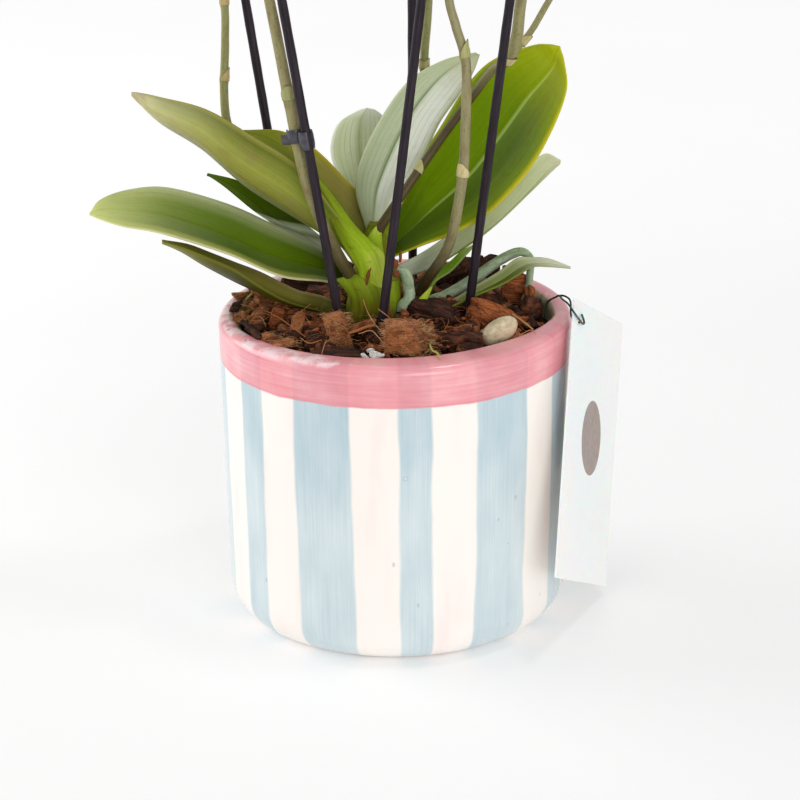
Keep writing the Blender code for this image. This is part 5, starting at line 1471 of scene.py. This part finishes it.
def bract_shape(place, axis, radius, toward, length, flare):
    """Pointed sheath that wraps one side of a joint and stands off towards its tip."""
    away = (toward - axis * toward.dot(axis)).normalized()
    other = axis.cross(away).normalized()
    verts, faces, grain, uv = [], [], [], []
    rows, columns = 12, 15
    for layer in (0.0, 0.22):
        for i in range(rows):
            s = i / (rows - 1)
            spread = math.radians(125.0) * (1.0 - s ** 1.5) + math.radians(5.0)
            swell = 0.12 * math.sin(math.pi * min(1.0, s * 1.6)) ** 2
            reach = radius + 0.08 + layer * (1.0 - 0.6 * s) + flare * s ** 3 + swell
            for j in range(columns):
                a = 2.0 * j / (columns - 1) - 1.0
                out = away * math.cos(spread * a) + other * math.sin(spread * a)
                verts.append(place + axis * (length * (s - 0.08)) + out * reach)
                grain.append((spread * a * radius, 0.0, length * s))
                uv.append((0.5, max(abs(a), s)))
    n = rows * columns
    for i in range(rows - 1):
        for j in range(columns - 1):
            p = i * columns + j
            quad = (p, p + 1, p + columns + 1, p + columns)
            faces.append(quad[::-1])
            faces.append(tuple(q + n for q in quad))
    border = ([(0, j) for j in range(columns)] + [(i, columns - 1) for i in range(1, rows)]
              + [(rows - 1, j) for j in range(columns - 2, -1, -1)] + [(i, 0) for i in range(rows - 2, 0, -1)])
    loop = [i * columns + j for i, j in border]
    for p, q in zip(loop, loop[1:] + loop[:1]):
        faces.append((p, q, q + n, p + n))
    return verts, faces, grain, uv


def add_joint(bag, route, radii, joint):
    """Low ring round a stem, with a scale above it."""
    share, (x, y), length, flare, tone = joint
    place, axis = spline_point(route, share), spline_tangent(route, share)
    radius = blend_value(radii, share) + 0.2
    steps = [(-0.7, -0.2), (-0.3, 0.05), (0.0, 0.1), (0.3, 0.05), (0.7, -0.2)]
    verts, faces, grain = tube_shape([place + axis * d for d, _ in steps], [radius + r for _, r in steps], 20)
    bag.add(verts, faces, grain, 0.9, 1, [(0.5, 0.3)] * len(verts))
    verts, faces, grain, uv = bract_shape(place, axis, radius, Vector((x, y, 0.0)), length, flare)
    bag.add(verts, faces, grain, tone, 1, uv)


def bloom_places(route, shares, heading):
    facing = Vector((math.cos(math.radians(heading)), math.sin(math.radians(heading)), -0.12)).normalized()
    places = []
    for order, share in enumerate(shares):
        start = spline_point(route, share)
        side = spline_tangent(route, share).cross(facing).normalized()
        if order % 2:
            side = -side
        centre = start + side * BLOOM_SPREAD + facing * (BLOOM_REACH + 2.5 * (order % 2))
        places.append((start, centre, facing))
    return places


def pedicel_path(start, centre, facing):
    end = centre - facing * (BLOOM_CORE + 0.2)
    behind = end - facing * 3.0
    bend = start.lerp(behind, 0.6) - facing * 2.0
    return sampled([start, bend, behind, end], 16)


def bud_shape(place, axis, length):
    verts0, faces = CHIP_MEDIUM
    turn = axis.to_track_quat("Z", "Y").to_matrix()
    verts, grain = [], []
    for v in verts0:
        p = v.normalized()
        width = 0.36 * length * (1.0 - 0.25 * p.z) * (1.0 + 0.05 * math.cos(3.0 * math.atan2(p.y, p.x)))
        verts.append(place + turn @ Vector((p.x * width, p.y * width, p.z * length * 0.5)))
        grain.append(p * length)
    return verts, faces, grain


def stem_radii(radii, joints, count):
    """Radius at each of count points, a little swollen at the joints."""
    made = []
    for i in range(count):
        share = i / (count - 1)
        swell = sum(0.22 * math.exp(-(((share - joint[0]) / 0.006) ** 2)) for joint in joints)
        wave = 0.05 * noise.noise(Vector((share * 40.0, radii[0] * 9.0, 0.0)))
        made.append(blend_value(radii, share) + swell + wave)
    return made


def add_spray(stalks, route, shares, heading):
    """Flower stalks along a route, and two buds at its end."""
    for start, centre, facing in bloom_places(route, shares, heading):
        path = pedicel_path(start, centre, facing)
        verts, faces, grain = tube_shape(path, [1.0 - 0.15 * math.sin(math.pi * i / 15) for i in range(16)], 10)
        stalks.add(verts, faces, grain, 0.8, 0)
    for order, share in enumerate((0.965, 1.0)):
        axis = spline_tangent(route, share)
        side = axis.cross(Vector((0, 1, 0))).normalized() * (2.5 if order else -2.5)
        verts, faces, grain = bud_shape(spline_point(route, share) + side, axis, 9.0 - 2.5 * order)
        stalks.add(verts, faces, grain, 1.0, 2)


# Colours of each stem: near the foot, farther up, what its darker patches are multiplied by and how strong
# they are, and where along the stem, in millimetres, the first turns to the second.
STEM_TONES = {
    "flower_stem_1": ((132, 130, 70), (148, 148, 96), (210, 190, 170), 0.4, (30, 90)),
    "flower_stem_2": ((84, 74, 40), (148, 142, 98), (210, 186, 170), 0.7, (14, 52)),
    "flower_stem_3": ((120, 124, 62), (140, 142, 88), (210, 196, 170), 0.4, (30, 90)),
    "flower_stem_4": ((66, 50, 22), (148, 142, 102), (200, 176, 156), 0.6, (28, 62)),
    "flower_stem_5": ((82, 70, 36), (148, 144, 98), (190, 170, 150), 0.5, (70, 104)),
}


def make_stems():
    bract = joint_material()
    bud = stem_material("bud_skin", (150, 160, 110), (200, 158, 156), (230, 150, 180), 0.5)
    bloom_mesh = make_bloom_mesh(petal_material(), lip_material())
    for name, (radii, route, shares, heading) in STEMS.items():
        bag = Bag()
        count = 220
        verts, faces, grain = tube_shape(sampled(route, count), stem_radii(radii, JOINTS[name], count), 16)
        *colours, (first, last) = STEM_TONES[name]
        bag.add(verts, faces, grain, [smooth_step(g[2], first, last) for g in grain])
        for joint in JOINTS[name]:
            add_joint(bag, route, radii, joint)
        add_spray(bag, route, shares, heading)
        places = bloom_places(route, shares, heading)
        if name == "flower_stem_5":
            side_radii, side_route, side_shares, side_heading = BRANCH
            side = tube_shape(sampled(side_route, 110), stem_radii(side_radii, [BRANCH_JOINT], 110), 14)
            bag.add(*side, 0.9)
            add_joint(bag, side_route, side_radii, BRANCH_JOINT)
            add_spray(bag, side_route, side_shares, side_heading)
            places += bloom_places(side_route, side_shares, side_heading)
        skin = stem_material(name + "_skin", *colours)
        settle(bag.object(name + "_stalk", [skin, bract, bud]), "stem", name)
        for order, (_, centre, facing) in enumerate(places):
            node = f"bloom_{name[-1]}_{order + 1}"
            bloom = bpy.data.objects.new(node + "_flower", bloom_mesh)
            bpy.context.scene.collection.objects.link(bloom)
            back = -facing
            up = (Vector((0, 0, 1)) - back * back.z).normalized()
            turn = Matrix((back.cross(up), back, up)).transposed().to_4x4()
            bloom.matrix_world = Matrix.Translation(centre * MM) @ turn
            settle(bloom, "petal", node)


def petal_blade(bag, length, widths, lift, curl, droop, turn, layer, slot, ruffle=0.0, rows=20, columns=13, thickness=0.5):
    """Petal that grows along +Z and faces -Y, turned about Y."""
    spin = Matrix.Rotation(math.radians(turn), 4, "Y")
    grid = np.zeros((rows, columns, 3))
    for i in range(rows):
        s = i / (rows - 1)
        eased = 1.0 - (1.0 - s) ** 1.3
        half = 0.5 * blend_value(widths, eased)
        for j in range(columns):
            a = 2.0 * j / (columns - 1) - 1.0
            forward = -lift * math.sin(math.pi * eased) + curl * a * a + droop * eased ** 2
            forward += ruffle * math.sin(5.0 * a + 3.0 * s) * eased * abs(a)
            end = 1.0 - 0.16 * a * a * eased
            p = spin @ Vector((a * half, 0.0, length * eased * end))
            grid[i, j] = (p.x, p.y + forward + layer, p.z)
    d0, d1 = np.gradient(grid, axis=0), np.gradient(grid, axis=1)
    normal = np.cross(d0, d1)
    normal /= np.linalg.norm(normal, axis=2, keepdims=True) + 1e-12
    verts, faces, uv, grain = [], [], [], []
    for sign in (0.5, -0.5):
        for i in range(rows):
            for j in range(columns):
                a = 2.0 * j / (columns - 1) - 1.0
                t = thickness * (0.35 + 0.65 * math.sqrt(max(0.0, 1.0 - a * a)))
                verts.append(grid[i, j] + normal[i, j] * t * sign)
                uv.append((j / (columns - 1), 1.0 - (1.0 - i / (rows - 1)) ** 1.3))
                grain.append(grid[i, j])
    n = rows * columns
    for i in range(rows - 1):
        for j in range(columns - 1):
            p = i * columns + j
            quad = (p, p + 1, p + columns + 1, p + columns)
            faces.append(quad)
            faces.append(tuple(reversed([q + n for q in quad])))
    border = ([(0, j) for j in range(columns)] + [(i, columns - 1) for i in range(1, rows)]
              + [(rows - 1, j) for j in range(columns - 2, -1, -1)] + [(i, 0) for i in range(rows - 2, 0, -1)])
    loop = [i * columns + j for i, j in border]
    for p, q in zip(loop, loop[1:] + loop[:1]):
        faces.append((q, p, p + n, q + n))
    bag.add(verts, faces, grain, 0.5, slot, uv)


def make_bloom_mesh(petal, lip):
    bag = Bag()
    sepal = (4.0, 13.0, 16.0, 13.5, 5.0)
    petal_blade(bag, 24.0, sepal, 2.0, 0.8, 2.0, 0.0, 1.2, 0)
    petal_blade(bag, 23.0, sepal, 2.0, 0.8, 2.0, 128.0, 1.2, 0)
    petal_blade(bag, 23.0, sepal, 2.0, 0.8, 2.0, -128.0, 1.2, 0)
    broad = (3.5, 22.0, 29.0, 26.0, 12.0)
    petal_blade(bag, 25.0, broad, 3.0, -1.5, 0.5, 66.0, -1.2, 0, ruffle=0.5)
    petal_blade(bag, 25.0, broad, 3.0, -1.5, 0.5, -66.0, -1.2, 0, ruffle=0.5)
    petal_blade(bag, 12.0, (4.0, 6.0, 10.5, 8.0, 1.5), -3.0, -2.0, -6.0, 180.0, -2.4, 1)
    petal_blade(bag, 7.5, (3.0, 5.5, 6.0, 5.0, 2.0), -1.0, -3.0, -5.0, 120.0, -2.6, 1, rows=12, columns=9)
    petal_blade(bag, 7.5, (3.0, 5.5, 6.0, 5.0, 2.0), -1.0, -3.0, -5.0, -120.0, -2.6, 1, rows=12, columns=9)
    verts, faces, grain = tube_shape([(0, 3.1, 0), (0, 1.0, 0.1), (0, -1.5, 0.4), (0, -3.8, 0.2), (0, -5.4, -0.8)],
                                     [1.4, 2.6, 2.2, 1.7, 1.2], 12)
    bag.add(verts, faces, grain, 0.5, 0, [(0.5, 0.05)] * len(verts))
    flower = bag.object("bloom_shape", [petal, lip])
    mesh = flower.data
    bpy.data.objects.remove(flower)
    return mesh


def stake_line(name):
    low, high, top = STAKES[name]
    slope = (Vector(high) - Vector(low)) / (high[2] - low[2])
    return Vector(low) + slope * (95.0 - low[2]), Vector(low) + slope * (top - low[2])


def make_stakes(material):
    for name in STAKES:
        foot, top = stake_line(name)
        axis = (top - foot).normalized()
        rng = random.Random(name)
        count = 60
        sway = Vector((rng.uniform(-1, 1), rng.uniform(-1, 1), 0.0)) * 0.25
        path = [foot.lerp(top, i / (count - 1)) + sway * math.sin(math.pi * i / (count - 1)) for i in range(count)]
        radii = [STAKE_RADIUS + 0.05 * math.sin(i * 1.7) for i in range(count)]
        path += [top + axis * d for d in (1.0, 2.2, 3.2, 3.8)]
        radii += [1.75, 1.3, 0.8, 0.35]
        bag = Bag()
        bag.add(*tube_shape(path, radii, 20))
        settle(bag.object(name + "_rod", [material]), "stake", name)


def height_share(route, height):
    share = 0.0
    while spline_point(route, share).z < height and share < 1.0:
        share += 0.002
    return share


def ring_shape(centre, axis, across, radius, wall, height, opening, steps=26):
    """Open ring round an axis, with a gap that looks along -across."""
    side = axis.cross(across).normalized()
    half = math.radians(180.0 - opening / 2.0)
    verts, faces, grain = [], [], []
    section = [(-0.5, 0.25), (-0.25, 0.0), (0.25, 0.0), (0.5, 0.25), (0.5, 0.75), (0.25, 1.0), (-0.25, 1.0), (-0.5, 0.75)]
    for i in range(steps + 1):
        angle = -half + 2.0 * half * i / steps
        out = across * math.cos(angle) + side * math.sin(angle)
        for up, thick in section:
            verts.append(centre + axis * (up * height) + out * (radius + thick * wall))
            grain.append((angle * radius, thick, up * height))
    n = len(section)
    for i in range(steps):
        for k in range(n):
            m = (k + 1) % n
            faces.append((i * n + k, i * n + m, (i + 1) * n + m, (i + 1) * n + k))
    faces.append(tuple(range(n))[::-1])
    faces.append(tuple(steps * n + k for k in range(n)))
    return verts, faces, grain


def bar_shape(start, end, axis, height, thick):
    """Small bevelled bar between two points."""
    along = (end - start).normalized()
    depth = along.cross(axis).normalized()
    verts, faces, grain = [], [], []
    section = [(-0.5, -0.3), (-0.3, -0.5), (0.3, -0.5), (0.5, -0.3), (0.5, 0.3), (0.3, 0.5), (-0.3, 0.5), (-0.5, 0.3)]
    for p in (start, end):
        for up, out in section:
            verts.append(p + axis * up * height + depth * out * thick)
            grain.append((0.0, out * thick, up * height))
    n = len(section)
    for k in range(n):
        m = (k + 1) % n
        faces.append((k, m, n + m, n + k))
    faces.append(tuple(range(n))[::-1])
    faces.append(tuple(n + k for k in range(n)))
    return verts, faces, grain


def make_clips(material):
    """Two open rings side by side, one on the stake and one round the stem, with two finger tabs."""
    for name, stem, stake, height in CLIPS:
        radii, route = STEMS[stem][:2]
        share = height_share(route, height)
        on_stem = spline_point(route, share)
        radius = blend_value(radii, share)
        low, top = stake_line(stake)
        on_stake = low + (top - low) * ((height - low.z) / (top.z - low.z))
        axis = (top - low).normalized()
        reach = on_stem - on_stake
        across = (reach - axis * reach.dot(axis)).normalized()
        depth = axis.cross(across)
        bag = Bag()
        bag.add(*ring_shape(on_stake, axis, across, STAKE_RADIUS + 0.1, 1.2, 7.6, 50.0))
        bag.add(*ring_shape(on_stem, axis, -across, radius + 0.3, 1.1, 5.6, 90.0))
        bag.add(*bar_shape(on_stake + across * (STAKE_RADIUS + 0.4), on_stem - across * (radius + 0.6), axis, 5.0, 3.0))
        for sign, drop in ((-1.0, 1.2), (1.0, -1.6)):
            start = on_stem + across * (radius * 0.6 + 0.4) + depth * sign * (radius * 0.75 + 0.5) + axis * drop
            bag.add(*bar_shape(start, start + across * 3.6 + depth * sign * 1.0, axis, 4.2, 1.0))
        settle(bag.object(name + "_claw", [material], sharp=35), "clip", name)


def make_roots():
    material = root_material()
    for name, (radii, route) in ROOTS.items():
        count = 110
        shift = random.Random(name).uniform(0, 50)
        grown = []
        for i in range(count):
            lump = 0.10 * noise.noise(Vector((i * 0.09, shift, 0.0))) + 0.04 * noise.noise(Vector((i * 0.4, shift, 3.0)))
            grown.append(blend_value(radii, i / (count - 1)) * (1.0 + lump))
        bag = Bag()
        bag.add(*tube_shape(sampled(route, count), grown, 20), 0.12)
        settle(bag.object(name + "_skin", [material]), "root", name)


# Tag

def tag_frame():
    heading, tilt, spin = math.radians(71.7), math.radians(3.3), math.radians(25.2)
    out = Vector((math.sin(heading), -math.cos(heading), 0.0))
    along = Vector((math.cos(heading), math.sin(heading), 0.0))
    up = Vector((0.0, 0.0, 1.0))
    normal = out * math.cos(tilt) + up * math.sin(tilt)
    upward = up * math.cos(tilt) - out * math.sin(tilt)
    right = along * math.cos(spin) - upward * math.sin(spin)
    down = -along * math.sin(spin) - upward * math.cos(spin)
    corner = out * 78.0 + along * 2.0 + up * 145.5
    return corner, right, down, normal


def make_tag():
    corner, right, down, normal = tag_frame()
    width, height, thick = 85.0, 116.5, 0.8
    hole = Vector((9.0, 9.0))
    hole_radius = 2.0
    columns, rows = 48, 64
    bag = Bag()
    outline = []
    verts, faces, uv, grain = [], [], [], []
    xs = sorted({round(width * i / columns, 3) for i in range(columns + 1)})
    ys = sorted({round(height * i / rows, 3) for i in range(rows + 1)})
    for side in (0.5, -0.5):
        for y in ys:
            for x in xs:
                px, py = x, y
                offset = Vector((px, py)) - hole
                if offset.length < 3.6:
                    push = hole_radius + (offset.length / 3.6) * 1.6
                    offset = (offset.normalized() if offset.length > 1e-6 else Vector((1, 0))) * push
                    px, py = hole.x + offset.x, hole.y + offset.y
                bow = 0.25 * math.sin(math.pi * x / width)
                verts.append(corner + right * px + down * py + normal * (side * thick + bow * 0.0))
                uv.append((x / width, y / height))
                grain.append((px, side, py))
    nx, n = len(xs), len(xs) * len(ys)
    for j in range(len(ys) - 1):
        for i in range(nx - 1):
            p = j * nx + i
            cx, cy = (xs[i] + xs[i + 1]) / 2, (ys[j] + ys[j + 1]) / 2
            if math.hypot(cx - hole.x, cy - hole.y) < 1.2:
                continue
            quad = (p, p + nx, p + nx + 1, p + 1)
            faces.append(quad)
            faces.append(tuple(reversed([q + n for q in quad])))
    edges = {}
    for face in faces:
        for p, q in zip(face, face[1:] + face[:1]):
            if p < n:
                edges[(p, q)] = True
    for p, q in list(edges):
        if (q, p) not in edges:
            faces.append((q, p, p + n, q + n))
    bag.add(verts, faces, grain, 0.5, 0, uv)
    obj = bag.object("card_tag", [card_material()], sharp=30)
    flip_if_inward(obj)
    settle(obj, "card", "tag_card")

    eye = corner + right * 9.0 + down * 9.0
    strands = Bag()
    twist = [(64, 1, 128), (64.5, 2, 133), (65, 1.5, 136), (66.5, -0.5, 138), (68, -3, 139.6), (69.5, -5, 141)]
    free_end = twist[2:] + [(72, -8, 141.6), (74, -10, 140), eye - normal * 3.0 + Vector((0, 0, 3.0)),
                            eye - normal * 0.8, eye, eye + normal * 0.8]
    to_card = twist + [(70.6, -12, 141.6), (72.2, -22, 143), (74.3, -27, 141), (76.4, -22, 136.8), (79.0, -15.2, 131.7),
                       (79.6, -14.0, 132.4), (78.4, -17.4, 136.5)]
    for route in (free_end, to_card):
        strands.add(*tube_shape(sampled(route, 90), [0.42] * 90, 10))
    settle(strands.object("wire_tie", [wire_material()]), "wire", "tag_wire")


# Stage

def make_stage():
    bpy.ops.mesh.primitive_plane_add(size=12.0, location=(0.0, 0.0, -0.0002))
    floor = bpy.context.object
    floor.name = "studio_floor"
    floor.data.materials.append(floor_material())

    world = bpy.data.worlds.new("studio")
    bpy.context.scene.world = world
    world.use_nodes = True
    background = world.node_tree.nodes["Background"]
    background.inputs["Color"].default_value = (1.0, 1.0, 1.0, 1.0)
    background.inputs["Strength"].default_value = SKY

    for name, place, size, power in LAMPS:
        light = bpy.data.lights.new(name, "AREA")
        light.shape = "RECTANGLE"
        light.size, light.size_y = size
        light.energy = power
        lamp = bpy.data.objects.new(name, light)
        bpy.context.scene.collection.objects.link(lamp)
        lamp.location = place
        lamp.rotation_euler = (Vector((0.0, 0.0, 0.12)) - Vector(place)).to_track_quat("-Z", "Y").to_euler()

    scene = bpy.context.scene
    scene.view_settings.view_transform = "Standard"
    scene.view_settings.exposure = 0.0


def make_camera():
    eye, aim, roll = Vector((0.0, -1.175, 0.525)), Vector((0.0017, 0.0, 0.093)), math.radians(-0.68)
    forward = (aim - eye).normalized()
    right = forward.cross(Vector((0, 0, 1))).normalized()
    up = right.cross(forward)
    turned_right = right * math.cos(roll) + up * math.sin(roll)
    turned_up = up * math.cos(roll) - right * math.sin(roll)
    data = bpy.data.cameras.new("camera")
    data.lens = 130.95
    data.sensor_width = 36.0
    camera = bpy.data.objects.new("camera", data)
    bpy.context.scene.collection.objects.link(camera)
    turn = Matrix((turned_right, turned_up, -forward)).transposed().to_4x4()
    camera.matrix_world = Matrix.Translation(eye) @ turn
    bpy.context.scene.camera = camera


make_camera()
make_stage()
make_pot()
make_heap()
for leaf_name, leaf_spec in LEAVES.items():
    make_leaf(leaf_name, leaf_spec, LEAF_LOOKS[leaf_name])
make_crown()
make_stems()
make_stakes(stake_material())
make_clips(clip_material())
make_roots()
make_tag()

bpy.context.view_layer.update()
